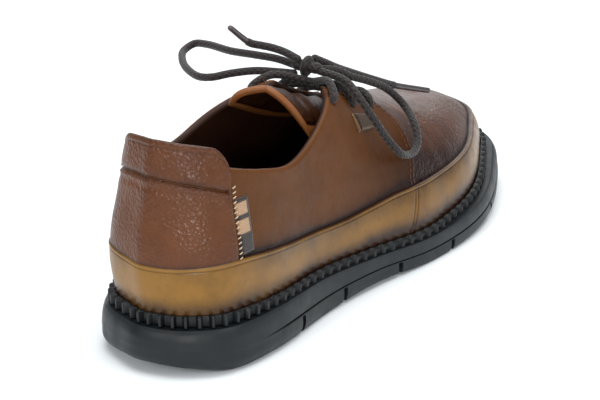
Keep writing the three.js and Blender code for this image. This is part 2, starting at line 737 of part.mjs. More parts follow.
const MEDIAL_LOOP = [
  point(-9.3, 104.7, 89.8),
  point(-18.5, 103.5, 92),
  point(-29.5, 102.3, 92.8),
  point(-43.5, 104.3, 92.2),
  point(-61, 112, 91),
  point(-69.8, 114.4, 89.6),
  point(-71.3, 107.4, 88),
  point(-66.4, 97.9, 87.2),
  point(-57.4, 87.6, 86.6),
  point(-45.7, 79.6, 86.6),
  point(-38.9, 79.3, 87.4),
  point(-32.3, 85.3, 88.4),
  point(-24.1, 92.9, 88.6),
  point(-15.2, 98, 87.8),
  point(-9, 101.5, 87),
];
const LATERAL_LOOP = [
  point(1, 107.6, 88.8),
  point(5.2, 115.4, 86.6),
  point(9.2, 122.6, 82),
  point(13.2, 131.6, 77.8),
  point(17.4, 142.4, 71.4),
  point(23.7, 146.8, 63.5),
  point(34, 137.7, 58),
  point(38.9, 131.3, 52.5),
  point(40.7, 124.1, 50),
  point(41, 115.6, 51),
  point(41, 108.6, 54.5),
  point(37, 103.6, 62.5),
  point(33, 98.8, 72.4),
  point(26.6, 98.6, 80.4),
  point(17.4, 102.4, 86.6),
  point(2.4, 104.4, 89),
];
const BACK_END = [
  point(-7.4, 102.5, 93.7),
  point(-13, 101.7, 96.2),
  point(-18.6, 99.8, 98.2),
  point(-23.2, 96.4, 99.8),
  point(-26.8, 93.1, 101.4),
];
const BACK_TIP = [point(-27.4, 92.6, 102.1), point(-33.2, 87.3, 109)];
const FORWARD_END = [
  point(-2.2, 109.1, 92.9),
  point(1, 115.4, 89),
  point(2.4, 122, 85.4),
  point(4.2, 133.3, 80),
  point(8, 146.9, 73.4),
  point(11.6, 160, 67.4),
];
const FORWARD_TIP = [point(11.75, 160.4, 67.1), point(18.4, 183.6, 58.8)];

const SHADES = {
  rubber: { color: 0x22272a, roughness: 0.6, metalness: 0 },
  brown: { color: 0x6b3a1c, roughness: 0.42, metalness: 0 },
  pebbled: { color: 0x7a4c30, roughness: 0.4, metalness: 0 },
  tan: { color: 0x9a6b33, roughness: 0.5, metalness: 0 },
  lining: { color: 0x3d2417, roughness: 0.8, metalness: 0 },
  cord: { color: 0x2b2322, roughness: 0.6, metalness: 0 },
  tip: { color: 0x3a3535, roughness: 0.3, metalness: 0 },
  ribbon: { color: 0x8a7a6a, roughness: 0.8, metalness: 0 },
  metal: { color: 0x8c8378, roughness: 0.3, metalness: 1 },
};
const shoe = new THREE.Group();
function add(name, geometry, shade) {
  geometry.computeVertexNormals();
  const mesh = new THREE.Mesh(geometry, new THREE.MeshStandardMaterial(SHADES[shade]));
  mesh.name = name;
  shoe.add(mesh);
}

add("outsole", buildOutsole(), "rubber");
add("midsole", buildMidsole(), "rubber");
add("welt", buildWelt(), "rubber");
add("insole", buildInsole(), "lining");
add("upper", buildUpper(), "brown");
add("mudguard", buildMudguard(), "tan");
add("heel_counter", buildCounter(), "pebbled");
add("tongue", buildTongue(), "brown");
add("side_tab", buildRibbon(), "ribbon");
add("side_plate", buildPlate(), "metal");
add("lace_crossings", buildCrossings(), "cord");
add("lace_knot", buildKnot(), "cord");
add("lace_loop_medial", cord(MEDIAL_LOOP, LACE_DIAMETER), "cord");
add("lace_loop_lateral", cord(LATERAL_LOOP, LACE_DIAMETER), "cord");
add("lace_end_back", cord(BACK_END, LACE_DIAMETER), "cord");
add("lace_end_forward", cord(FORWARD_END, LACE_DIAMETER), "cord");
add("aglet_back", cord(BACK_TIP, AGLET_DIAMETER), "tip");
add("aglet_forward", cord(FORWARD_TIP, AGLET_DIAMETER), "tip");

export default shoe;
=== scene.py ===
# Looks of a right casual shoe: leather upper with a waxed band, cup sole and tied round laces
import bmesh
import bpy
import numpy as np
from mathutils import Matrix, Vector


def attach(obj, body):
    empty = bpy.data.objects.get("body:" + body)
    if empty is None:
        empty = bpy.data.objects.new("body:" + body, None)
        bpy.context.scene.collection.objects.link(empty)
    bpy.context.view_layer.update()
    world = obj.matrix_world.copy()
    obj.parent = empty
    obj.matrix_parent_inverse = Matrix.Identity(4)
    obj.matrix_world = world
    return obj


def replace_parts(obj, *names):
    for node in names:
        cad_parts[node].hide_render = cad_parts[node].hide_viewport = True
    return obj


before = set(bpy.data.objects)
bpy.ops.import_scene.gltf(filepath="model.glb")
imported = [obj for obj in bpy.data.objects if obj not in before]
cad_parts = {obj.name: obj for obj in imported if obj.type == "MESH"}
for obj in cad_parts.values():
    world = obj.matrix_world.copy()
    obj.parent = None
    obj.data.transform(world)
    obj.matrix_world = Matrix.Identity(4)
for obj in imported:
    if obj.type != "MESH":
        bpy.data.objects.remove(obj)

bl_info = {
    "name": "Casual Shoe",
    "version": (1, 0, 0),
    "blender": (4, 5, 0),
    "location": "3D View > Sidebar > Shoe",
    "description": "Builds the surfaces, stitching, laces and studio of a leather casual shoe",
    "category": "Add Mesh",
}

# Driving sizes, in metres
SOLE_LENGTH = 0.298
BALL_WIDTH = 0.114
HEEL_SEAT = 0.044
SOLE_THICKNESS = 0.019
TOE_SPRING = 0.009
SOLE_FLARE = 0.0125
INSTEP_HEIGHT = 0.104
COLLAR_HEIGHT = 0.09
BAND_HEIGHT = 0.027
WALL = 0.0024
QUARTER_STEP = 0.0013
BAND_LEATHER = 0.0022
COUNTER_LEATHER = 0.0012
TAB_RISE = 0.0075
TAB_CORNER = 0.011
GAP = 0.0003
WELT_HEIGHT = 0.0055
WELT_WIDTH = 0.0034
THROAT_GAP = 0.029
HOLE_INSET = 0.0075
WELT_REACH = QUARTER_STEP + 2 * GAP + BAND_LEATHER + WELT_WIDTH
COUNTER_FACE = QUARTER_STEP + COUNTER_LEATHER
MM = 0.001

# Shares of those sizes along the shoe, by station from the heel (0) to the toe (1)
FOOTPRINT = {
    "at": [0.012, 0.06, 0.16, 0.3, 0.42, 0.54, 0.66, 0.76, 0.86, 0.94, 0.985],
    "lateral": [0.15, 0.29, 0.345, 0.345, 0.39, 0.465, 0.497, 0.465, 0.375, 0.265, 0.1],
    "medial": [0.11, 0.283, 0.36, 0.385, 0.36, 0.397, 0.477, 0.515, 0.485, 0.398, 0.252],
}
TOE_TIP = -0.06
SOLE_ROWS = {
    "at": [0, 0.06, 0.12, 0.28, 0.42, 0.56, 0.72, 0.85, 0.95, 1],
    "bed": [1.06, 1.05, 1.02, 0.89, 0.73, 0.62, 0.74, 0.93, 1.06, 1.12],
    "lift": [0.4, 0.06, 0, 0, 0, 0, 0, 0.22, 0.68, 1],
    "arch": [0, 0, 0, 0, 0.1, 0, 0, 0, 0, 0],
    "flare": [0.9, 0.81, 0.79, 0.7, 0.65, 0.66, 0.77, 0.9, 0.9, 0.87],
}
CREST_ROWS = {
    "at": [0.14, 0.25, 0.36, 0.45, 0.55, 0.64, 0.75, 0.82, 0.885],
    "height": [1.16, 1.1, 1.01, 0.885, 0.745, 0.64, 0.53, 0.47, 0.415],
    "lean": [0, 0, 0, 0, 0.01, 0.025, 0.045, 0.055, 0.065],
}
SECTION_ROWS = {
    "at": [0, 0.08, 0.17, 0.26, 0.35, 0.43, 0.5, 0.65, 0.8, 1],
    "crest": [0.14, 0.2, 0.265, 0.335, 0.415, 0.5, 0.58, 0.705, 0.795, 0.885],
    "full": [2.4, 2.8, 3, 3, 2.7, 2.35, 2.2, 2.25, 2.5, 2.7],
    "swell": [0.2, 0.2, 0.16, 0.1, 0.04, 0.02, 0.02, 0.06, 0.08, 0.08],
    "band": [0.95, 1, 0.92, 0.82, 0.77, 0.82, 0.88, 0.83, 0.71, 0.56],
    "collar": [1, 0.945, 0.865, 0.81, 0.9, 1.02, 1.3, 1.6, 1.6, 1.6],
}
SWELL_TOP = 0.75
THROAT_TOP = 0.37
THROAT_END = 0.56
QUARTER_FRONT = 0.547
COUNTER_FRONT = 0.09
HOLE_STATIONS = [0.515, 0.455, 0.395]
SLIT_STATIONS = [0.22, 0.34, 0.47, 0.6, 0.76]


# The last and the sole as formulas


def column(rows, name, at):
    """Smooth curve through one column of a table, at any stations."""
    a = np.asarray(rows["at"], float)
    v = np.asarray(rows[name], float)
    n = len(a)
    x = np.clip(at, a[0], a[-1])
    i = np.clip(np.searchsorted(a, x) - 1, 0, n - 2)
    low, high = np.maximum(np.arange(n) - 1, 0), np.minimum(np.arange(n) + 1, n - 1)
    slope = (v[high] - v[low]) / (a[high] - a[low])
    span = a[i + 1] - a[i]
    t = (x - a[i]) / span
    return (
        v[i] * (2 * t**3 - 3 * t**2 + 1)
        + slope[i] * span * (t**3 - 2 * t**2 + t)
        + v[i + 1] * (3 * t**2 - 2 * t**3)
        + slope[i + 1] * span * (t**3 - t**2)
    )


def smooth(t):
    """A soft step: 0 up to t 0, 1 from t 1 on, and 3 t squared less 2 t cubed between."""
    s = np.clip(t, 0, 1)
    return s * s * (3 - 2 * s)


def bell(x, width):
    """A bell of height 1 at x 0: e to the power of minus the square of x over its width."""
    return np.exp(-((x / width) ** 2))


def unit(v):
    """The same directions with length 1."""
    return v / (np.linalg.norm(v, axis=-1, keepdims=True) + 1e-12)


def outline_sides():
    """Outer and inner side of the sole's outline from heel to toe, a spline through the table."""
    at = np.array(FOOTPRINT["at"]) * SOLE_LENGTH - HEEL_SEAT
    outer = np.stack([np.array(FOOTPRINT["lateral"]) * BALL_WIDTH, at], 1)
    inner = np.stack([-np.array(FOOTPRINT["medial"]) * BALL_WIDTH, at], 1)[::-1]
    tip = [[TOE_TIP * BALL_WIDTH, SOLE_LENGTH - HEEL_SEAT]]
    loop = np.vstack([[[0, -HEEL_SEAT]], outer, tip, inner])
    steps = 12
    t = (np.arange(steps) / steps)[None, :, None]
    p0, p1, p2, p3 = [np.roll(loop, k, 0)[:, None, :] for k in (1, 0, -1, -2)]
    dense = 0.5 * (
        2 * p1
        + (p2 - p0) * t
        + (2 * p0 - 5 * p1 + 4 * p2 - p3) * t**2
        + (3 * p1 - p0 - 3 * p2 + p3) * t**3
    ).reshape(-1, 2)
    toe = (len(outer) + 1) * steps
    found = []
    for points in (dense[: toe + 1], np.vstack([dense[:1], dense[toe:][::-1]])):
        run = np.linalg.norm(np.diff(points, axis=0), axis=1)
        found.append((points, np.concatenate([[0], np.cumsum(run)])))
    return found


SIDES = outline_sides()


def wrap(u):
    """u brought back between -1 and 1 where it runs past the toe."""
    return np.where(u > 1, u - 2, np.where(u < -1, u + 2, u))


def outline(u):
    """Plan point at u: 0 at the heel, along the outer side to 1 at the toe, inner side negative."""
    u = wrap(np.asarray(u, float))
    found = []
    for points, along in SIDES:
        reach = np.abs(u) * along[-1]
        found.append(
            np.stack([np.interp(reach, along, points[:, k]) for k in (0, 1)], -1)
        )
    return np.where((u >= 0)[..., None], found[0], found[1])


def outward(u):
    """Level direction square to the outline, from a short chord across u."""
    chord = 0.012
    along = outline(u + chord) - outline(u - chord)
    return unit(np.stack([along[..., 1], -along[..., 0]], -1))


def station(u):
    """Share of the sole's length from the heel: the mean of the outer and inner side at u."""
    return ((outline(u)[..., 1] + outline(-u)[..., 1]) / 2 + HEEL_SEAT) / SOLE_LENGTH


# u against station, to find one from the other
ROUND = np.linspace(0, 1, 2001)
STATION = station(ROUND)


def round_at(at):
    """u on the outer side at a station."""
    return np.interp(at, STATION, ROUND)


def bed(at):
    """Height of the sole's bed."""
    return column(SOLE_ROWS, "bed", at) * SOLE_THICKNESS


def lift(at):
    """Height of the tread over the floor: the toe's spring and the hollow at the waist."""
    spring = np.maximum(0, column(SOLE_ROWS, "lift", at)) * TOE_SPRING
    return spring + np.maximum(0, column(SOLE_ROWS, "arch", at)) * SOLE_THICKNESS


def flare(at):
    """How far the sole stands out past the last's foot."""
    return column(SOLE_ROWS, "flare", at) * SOLE_FLARE


def arch(u):
    """What one arch of the last needs: its foot and crest in plan, bed, rise and powers."""
    at = station(u)
    out = outward(u)
    foot = outline(u) - out * flare(at)[..., None]
    crest_at = column(SECTION_ROWS, "crest", at)
    crest = np.stack(
        [
            -column(CREST_ROWS, "lean", crest_at) * BALL_WIDTH,
            crest_at * SOLE_LENGTH - HEEL_SEAT,
        ],
        -1,
    )
    low = bed(at)
    return {
        "at": at,
        "foot": foot,
        "low": low,
        "rise": column(CREST_ROWS, "height", crest_at) * INSTEP_HEIGHT - low,
        "crest": crest - foot,
        "full": column(SECTION_ROWS, "full", at),
        "swell": column(SECTION_ROWS, "swell", at) * SOLE_FLARE,
        "out": out,
    }


def last(u, v):
    """The last's outside: a superellipse from the sole (v 0) to the crest (v 1) that swells low."""
    u = wrap(u)
    s = arch(u)
    c, b = np.maximum(np.cos(v * np.pi / 2), 0), np.sin(v * np.pi / 2)
    reach = (c ** s["full"] + b ** s["full"]) ** (-1 / s["full"])
    inward, height = 1 - reach * c, reach * b * s["rise"]
    top = SWELL_TOP * (COLLAR_HEIGHT - SOLE_THICKNESS)
    bulge = s["swell"] * np.sin(np.pi * np.minimum(height / top, 1)) ** 2
    plan = s["foot"] + s["crest"] * inward[..., None] + s["out"] * bulge[..., None]
    return np.concatenate([plan, (s["low"] + height)[..., None]], -1)


def last_normal(u, v):
    """Direction square to the last, from short chords along u and v; both sides' mean on top."""
    step = 0.008
    top = 0.985

    def one(u, v):
        along = last(u + step, v) - last(u - step, v)
        up = last(u, v + step) - last(u, np.maximum(v - step, 0))
        return unit(np.cross(along, up))

    near = np.minimum(v, top)
    here = one(u, near)
    return np.where((v > top)[..., None], unit(here + one(-u, near)), here)


def skin(u, v, offset):
    """The last's place at u, v, moved out along its normal by the offset."""
    u, v, offset = np.broadcast_arrays(
        np.asarray(u, float), np.asarray(v, float), np.asarray(offset, float)
    )
    return last(u, v) + last_normal(u, v) * offset[..., None]


def height_v(u, height):
    """v at a height: the arch's superellipse solved for its angle from the rise."""
    s = arch(u)
    b = np.clip((height - s["low"]) / s["rise"], 0, 0.9999)
    return np.arctan(b / (1 - b ** s["full"]) ** (1 / s["full"])) * 2 / np.pi


def crest_v(u, distance):
    """v at a level distance from the crest: the superellipse solved from the plan."""
    s = arch(u)
    c = np.clip(distance / np.linalg.norm(s["crest"], axis=-1), 1e-9, 1)
    return np.arctan((1 - c ** s["full"]) ** (1 / s["full"]) / c) * 2 / np.pi


def band_v(u):
    """v of the band's upper edge."""
    at = station(u)
    return height_v(u, bed(at) + column(SECTION_ROWS, "band", at) * BAND_HEIGHT)


def throat_half(at):
    """Half the throat's width: a slight taper, and a quarter of a circle at its front end."""
    t = np.clip((THROAT_END - at) / (THROAT_END - THROAT_TOP), 0, 1.4)
    end = np.sqrt(np.maximum(0, 1 - (1 - np.minimum(t * 12, 1)) ** 2))
    return THROAT_GAP / 2 * (0.86 + 0.14 * t) * end


def collar(u):
    """Height of the topline."""
    return column(SECTION_ROWS, "collar", station(u)) * COLLAR_HEIGHT


def edge_v(u):
    """The free edge: the topline, which turns into the throat by a soft minimum."""
    at = station(u)
    a, b = height_v(u, collar(u)), crest_v(u, throat_half(at))
    soft = (a + b - np.sqrt((a - b) ** 2 + 0.02**2)) / 2
    return np.where(at >= THROAT_END, 1, soft)


HEEL_ROUND = round_at(COUNTER_FRONT)
QUARTER_ROUND = round_at(QUARTER_FRONT)
THROAT_ROUND = round_at(THROAT_END)
SIDE_LENGTH = SIDES[0][1][-1]


def bowed(u, v):
    """The quarters' front edge bows forward between the band and the facing."""
    rise = np.clip((v - 0.3) / 0.5, 0, 1)
    near = smooth(1 - np.abs(np.abs(u) - QUARTER_ROUND) / 0.12)
    return u + np.sign(u) * 0.02 * np.sin(np.pi * rise) * near


def quarter_lift(u):
    """The quarter's step as the band and welt lie on it, let down softly onto the vamp."""
    return QUARTER_STEP * smooth(1 + (QUARTER_ROUND + 0.004 - np.abs(u)) / 0.07)


def both_sides(half):
    """u from the front edge of the inner side round the heel to that of the outer side."""
    return np.concatenate([-half[::-1], half[1:]])


def all_round(half):
    """u once round the shoe, out along the outer side and back along the inner one."""
    return np.concatenate([half, -half[1:-1][::-1]])


def other_side(ring):
    """For each place of a ring once round the shoe, its partner across the shoe."""
    return ring[(-np.arange(len(ring))) % len(ring)]


# Meshes

MERGE_DISTANCE = 2e-6
SHARP_ANGLE = 0.75


def ring_faces(rows, cols, closed):
    """Quads of a grid whose faces look out when its rows run round and then up."""
    steps = cols if closed else cols - 1
    j, i = np.meshgrid(np.arange(rows - 1), np.arange(steps), indexing="ij")
    n = (i + 1) % cols
    quads = [j * cols + i, j * cols + n, (j + 1) * cols + n, (j + 1) * cols + i]
    return np.stack(quads, -1).reshape(-1, 4)


def finish_piece(name, points, faces, material, values=None, uv=None):
    """Puts points and faces into a mesh, merges what meets, and rides it on the shoe."""
    mesh = bpy.data.meshes.new(name)
    mesh.from_pydata(points.reshape(-1, 3).tolist(), [], faces.tolist())
    for key, array in (values or {}).items():
        layer = mesh.attributes.new(key, "FLOAT", "POINT")
        layer.data.foreach_set("value", np.asarray(array, np.float32).ravel())
    if uv is not None:
        layer = mesh.uv_layers.new(name="run")
        layer.data.foreach_set("uv", np.asarray(uv, np.float32).ravel())
    work = bmesh.new()
    work.from_mesh(mesh)
    bmesh.ops.remove_doubles(work, verts=work.verts, dist=MERGE_DISTANCE)
    work.to_mesh(mesh)
    work.free()
    mesh.shade_smooth()
    mesh.set_sharp_from_angle(angle=SHARP_ANGLE)
    mesh.materials.append(material)
    piece = bpy.data.objects.new(name, mesh)
    bpy.context.scene.collection.objects.link(piece)
    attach(piece, "root")
    return piece


def grid_piece(name, points, material, closed=False, values=None):
    """A piece from a grid of points, with values that spread over the whole grid."""
    rows, cols = points.shape[:2]
    spread = {k: np.broadcast_to(a, (rows, cols)) for k, a in (values or {}).items()}
    return finish_piece(
        name, points, ring_faces(rows, cols, closed), material, spread
    )


def spline(points, per_span=14):
    """Centripetal Catmull-Rom curve through points, as one array of places along it."""
    p = np.asarray(points, float)
    p = np.vstack([2 * p[0] - p[1], p, 2 * p[-1] - p[-2]])
    run = np.maximum(np.linalg.norm(np.diff(p, axis=0), axis=1) ** 0.5, 1e-9)
    p0, p1, p2, p3 = p[:-3], p[1:-2], p[2:-1], p[3:]
    d0, d1, d2 = run[:-2, None], run[1:-1, None], run[2:, None]
    m1 = ((p1 - p0) / d0 - (p2 - p0) / (d0 + d1) + (p2 - p1) / d1) * d1
    m2 = ((p2 - p1) / d1 - (p3 - p1) / (d1 + d2) + (p3 - p2) / d2) * d1
    t = (np.arange(per_span) / per_span)[None, :, None]
    m1, m2, p1, p2 = m1[:, None], m2[:, None], p1[:, None], p2[:, None]
    curve = (
        (2 * t**3 - 3 * t**2 + 1) * p1
        + (t**3 - 2 * t**2 + t) * m1
        + (3 * t**2 - 2 * t**3) * p2
        + (t**3 - t**2) * m2
    )
    return np.vstack([curve.reshape(-1, 3), p[-2:-1]])


def along_path(path):
    """Length of the path up to each of its places."""
    steps = np.linalg.norm(np.diff(path, axis=0), axis=1)
    return np.concatenate([[0], np.cumsum(steps)])


def rest_of_rows(values, rows, rest):
    """The rows of values, and rows of one value after them up to a number of rows."""
    return np.pad(values, ((0, rows - len(values)), (0, 0)), constant_values=rest)


def even(path, step):
    """The same path with its places a fixed step apart."""
    run = along_path(path)
    at = np.linspace(0, run[-1], max(int(round(run[-1] / step)), 2) + 1)
    return np.stack([np.interp(at, run, path[:, k]) for k in range(3)], -1)


def frames(path):
    """Two directions square to the path at each place, carried along it without twist."""
    tangent = unit(np.gradient(path, axis=0))
    start = np.array([0, 0, 1.0]) if abs(tangent[0][2]) < 0.9 else np.array([1.0, 0, 0])
    sides = [unit(start - tangent[0] * (start @ tangent[0]))]
    for t in tangent[1:]:
        s = sides[-1] - t * (sides[-1] @ t)
        sides.append(unit(s))
    side = np.array(sides)
    return tangent, side, np.cross(tangent, side)


def tube(path, radius, around=14):
    """A round profile carried along a path, with a domed end: points, faces and a braid's UV."""
    tangent, side, up = frames(path)
    radius = np.broadcast_to(radius, len(path))
    bend = np.linspace(0, np.pi / 2, 5)[:-1]
    turn = 2 * np.pi * np.arange(around) / around
    turn = turn[None, :, None]
    circle = np.cos(turn) * side[:, None] + np.sin(turn) * up[:, None]
    body = path[:, None] + circle * radius[:, None, None]

    def dome(k, sign):
        centre = path[k] + sign * tangent[k] * (radius[k] * np.sin(bend))[:, None]
        return centre[:, None] + circle[k] * (radius[k] * np.cos(bend))[:, None, None]

    def pole(k, sign):
        return np.broadcast_to(path[k] + sign * tangent[k] * radius[k], (1, around, 3))

    points = np.concatenate(
        [pole(0, -1), dome(0, -1)[1:][::-1], body, dome(-1, 1)[1:], pole(-1, 1)]
    )
    rows = len(points)
    run = along_path(points.mean(1))
    faces = ring_faces(rows, around, True)[:, ::-1]
    j, i = np.divmod(np.arange((rows - 1) * around), around)
    corner = [(run[j + 1], i), (run[j + 1], i + 1), (run[j], i + 1), (run[j], i)]
    uv = np.stack([np.stack([a, b / around], -1) for a, b in corner], 1)
    return points.reshape(-1, 3), faces, uv


def joined_tubes(parts):
    """Several tubes as one piece's points, faces and UV."""
    points, faces, uv, start = [], [], [], 0
    for p, f, w in parts:
        points.append(p)
        faces.append(f + start)
        uv.append(w)
        start += len(p)
    return np.vstack(points), np.vstack(faces), np.concatenate(uv)


def rim(u, v, outer, inner, turns=7):
    """Rows of a half round over a free edge, from the outer skin to the lining."""
    middle, radius = (outer + inner) / 2, (outer - inner) / 2
    below = 0.02
    up = unit(skin(u, v, middle) - skin(u, v - below, middle))
    rows = []
    for turn in np.linspace(0, np.pi, turns + 2)[1:-1]:
        p = skin(u, v, middle + radius * np.cos(turn))
        rows.append(p + up * (radius * np.sin(turn))[..., None])
    return np.stack(rows)


def crest_side(at, distance):
    """u and v of a place by its station and its level distance from the crest."""
    at, distance = np.broadcast_arrays(np.asarray(at, float), np.asarray(distance, float))
    u = np.where(distance < 0, -1, 1) * round_at(at)
    return u, crest_v(u, np.abs(distance))


def front_round(u, edge, radius):
    """1 away from a cut edge and a quarter round down to 0 at it."""
    near = np.clip((edge - np.abs(u)) * SIDE_LENGTH / radius, 0, 1)
    return np.sqrt(np.maximum(0, 1 - (1 - near) ** 2))


def near_holes(points, radius):
    """1 at the middle of a lace hole and 0 outside its radius."""
    at = np.repeat(HOLE_STATIONS, 2)
    side = np.tile([1, -1], len(HOLE_STATIONS))
    u, v = crest_side(at, side * (throat_half(at) + HOLE_INSET))
    centres = skin(u, v, QUARTER_STEP)
    far = np.linalg.norm(points[..., None, :] - centres, axis=-1).min(-1)
    return np.clip(1 - far / radius, 0, 1)


# Materials


def linear(red, green, blue):
    """A screen colour, 0 to 255, as the linear values that a shader takes."""
    c = np.array([red, green, blue]) / 255
    low = c / 12.92
    return (*np.where(c <= 0.04045, low, ((c + 0.055) / 1.055) ** 2.4).tolist(), 1.0)


class Recipe:
    """A new node material, with short calls to add nodes and to join them."""

    def __init__(self, name, **sockets):
        self.material = bpy.data.materials.new(name)
        self.material.use_nodes = True
        self.tree = self.material.node_tree
        self.shader = self.tree.nodes["Principled BSDF"]
        for key, value in sockets.items():
            self.shader.inputs[key.replace("_", " ")].default_value = value
        self.place = self.node("ShaderNodeTexCoord").outputs["Object"]

    def node(self, kind, inputs=None, **settings):
        """A node with its settings, each input a number, a colour or another node's output."""
        node = self.tree.nodes.new(kind)
        for key, value in settings.items():
            setattr(node, key, value)
        for key, value in (inputs or {}).items():
            if isinstance(value, bpy.types.NodeSocket):
                self.tree.links.new(value, node.inputs[key])
            else:
                node.inputs[key].default_value = value
        return node

    def math(self, operation, a, b=0.0):
        """One step of arithmetic on two values."""
        return self.node("ShaderNodeMath", {0: a, 1: b}, operation=operation).outputs[0]

    def noise(self, scale, detail=2.0, stretch=(1, 1, 1)):
        """Soft clouds of a scale, from 0 to 1."""
        sockets = {"Vector": self.place, "Scale": stretch}
        place = self.node("ShaderNodeMapping", sockets).outputs[0]
        sockets = {"Vector": place, "Scale": scale, "Detail": detail}
        return self.node("ShaderNodeTexNoise", sockets).outputs["Fac"]

    def pebble(self, scale, smoothness):
        """Rounded cells: the distance from the nearest of many scattered points."""
        sockets = {"Vector": self.place, "Scale": scale, "Smoothness": smoothness}
        cells = self.node("ShaderNodeTexVoronoi", sockets, feature="SMOOTH_F1")
        return cells.outputs["Distance"]

    def value(self, name):
        """A value that the mesh carries at its points."""
        return self.node("ShaderNodeAttribute", attribute_name=name).outputs["Fac"]

    def ramp(self, fac, low, high, to_low=0.0, to_high=1.0):
        """A value's range low to high made to_low to to_high, and held there past its ends."""
        sockets = {
            "Value": fac,
            "From Min": low,
            "From Max": high,
            "To Min": to_low,
            "To Max": to_high,
        }
        return self.node("ShaderNodeMapRange", sockets).outputs[0]

    def mix(self, fac, a, b):
        """Colour a where the factor is 0, b where it is 1."""
        return self.node("ShaderNodeMix", {0: fac, 6: a, 7: b}, data_type="RGBA").outputs[2]

    def bump(self, height, distance, strength=1.0, normal=None):
        """A height seen as relief of a depth in metres, on top of another one if given."""
        sockets = {"Height": height, "Distance": distance, "Strength": strength}
        if normal is not None:
            sockets["Normal"] = normal
        return self.node("ShaderNodeBump", sockets).outputs[0]

    def set(self, **sockets):
        """Joins the last outputs to the shader's sockets and gives the material."""
        for key, value in sockets.items():
            self.tree.links.new(value, self.shader.inputs[key.replace("_", " ")])
        return self.material


def leather(name, colour, dark, lining, rough, coat, specular, grain, grain_size, mottled):
    """Leather: mottled colour that goes dark by a value of real burnish and painted shade, pebbles
    and pores as bump, lining inside.
    """
    r = Recipe(name, Coat_Weight=coat, Coat_Roughness=0.2, Specular_IOR_Level=specular)
    clouds = r.ramp(r.noise(60, 4.0), 0.3, 0.7, -mottled, mottled)
    specks = r.ramp(r.noise(420, 3.0), 0.3, 0.7, -0.06, 0.06)
    # The dark share that each piece carries is real burnish plus painted shadow and shade lines
    shade = r.math("ADD", r.math("ADD", r.value("burnish_and_shade"), clouds), specks)
    skin_colour = r.mix(r.ramp(shade, 0.0, 1.0), colour, dark)
    base = r.mix(r.value("inside"), skin_colour, lining)
    pebbles = r.pebble(1 / grain_size, 0.4)
    patches = r.ramp(r.noise(45, 2.0), 0.35, 0.65, 0.45, 1.0)
    height = r.math("MULTIPLY", pebbles, patches)
    normal = r.bump(r.noise(1900, 2.0), 0.00005, 1.0, r.bump(height, grain))
    return r.set(
        Base_Color=base,
        Roughness=r.ramp(r.noise(160, 3.0), 0.3, 0.7, rough - 0.07, rough + 0.07),
        Normal=normal,
        Coat_Normal=normal,
    )


# Near-black of the painted shade in slits, grooves and between the welt's ribs
PIT_SHADE_COLOUR = (0.0015, 0.0018, 0.002, 1)


def rubber(name, colour):
    """Moulded rubber: an even dark colour with faint dust, a fine matt bump and a soft sheen, and
    near-black painted shade where the mesh's value says.
    """
    r = Recipe(name, Specular_IOR_Level=0.38)
    dust = r.ramp(r.noise(90, 4.0), 0.4, 0.75)
    lighter = tuple(1.5 * c for c in colour[:3]) + (1.0,)
    normal = r.bump(r.noise(2600, 2.0), 0.00004)
    face = r.mix(dust, colour, lighter)
    return r.set(
        Base_Color=r.mix(r.value("pit_shade"), face, PIT_SHADE_COLOUR),
        Roughness=r.ramp(r.noise(130, 3.0), 0.3, 0.7, 0.38, 0.52),
        Normal=r.bump(r.noise(240, 2.0), 0.00008, 1.0, normal),
    )


def braid(name, colour):
    """Waxed round braid: two sets of strands that wind round the cord and cross, as bump, with
    painted shade between the strands.
    """
    r = Recipe(name, Sheen_Weight=0.15, Sheen_Roughness=0.5, Specular_IOR_Level=0.35)
    run = r.node("ShaderNodeUVMap", uv_map="run").outputs[0]
    parts = r.node("ShaderNodeSeparateXYZ", {0: run})
    length = r.math("MULTIPLY", parts.outputs[0], 2100.0)
    turn = r.math("MULTIPLY", parts.outputs[1], 12 * np.pi)
    one = r.math("SINE", r.math("ADD", length, turn))
    two = r.math("SINE", r.math("SUBTRACT", length, turn))
    strands = r.math("MAXIMUM", one, two)
    # Painted shade: darker colour where the strands sink
    shade = r.ramp(strands, -0.6, 1.0)
    deep = tuple(0.45 * c for c in colour[:3]) + (1.0,)
    return r.set(
        Base_Color=r.mix(shade, deep, colour),
        Roughness=r.ramp(strands, -1.0, 1.0, 0.75, 0.5),
        Normal=r.bump(strands, 0.00014),
    )


def plain(name, colour, rough, grain=900.0, depth=0.00005, **sockets):
    """A quiet finish: colour and gloss that vary a little, with a fine bump."""
    r = Recipe(name, **sockets)
    tone = r.ramp(r.noise(grain / 3, 2.0), 0.3, 0.7)
    darker = tuple(0.75 * c for c in colour[:3]) + (1.0,)
    return r.set(
        Base_Color=r.mix(tone, darker, colour),
        Roughness=r.ramp(r.noise(grain / 2, 2.0), 0.3, 0.7, rough - 0.05, rough + 0.05),
        Normal=r.bump(r.noise(grain, 2.0), depth),
    )


def matt_floor(name, colour):
    """Studio floor: nearly even, with broad faint clouds and no gloss to speak of."""
    r = Recipe(name, Specular_IOR_Level=0.1)
    faint = tuple(0.985 * c for c in colour[:3]) + (1.0,)
    cloud = r.ramp(r.noise(1.5, 1.0), 0.3, 0.7)
    gloss = r.ramp(cloud, 0, 1, 0.85, 0.9)
    return r.set(Base_Color=r.mix(cloud, faint, colour), Roughness=gloss)


def woven(name, colour, pale):
    """Ribbon: fine cross ribs as bump with painted shade between them, and the pale bars where the
    attribute says.
    """
    r = Recipe(name, Sheen_Weight=0.3, Specular_IOR_Level=0.3)
    run = r.node("ShaderNodeUVMap", uv_map="run").outputs[0]
    parts = r.node("ShaderNodeSeparateXYZ", {0: run})
    rib = r.math("SINE", r.math("MULTIPLY", parts.outputs[1], 9000.0))
    base = r.mix(r.value("pale"), colour, pale)
    deep = (0.01, 0.008, 0.007, 1)
    return r.set(
        # Painted shade: darker between the cross ribs
        Base_Color=r.mix(r.ramp(rib, -1.0, 1.0, 0.35, 0.0), base, deep),
        Roughness=r.ramp(rib, -1.0, 1.0, 0.85, 0.7),
        Normal=r.bump(rib, 0.00012),
    )


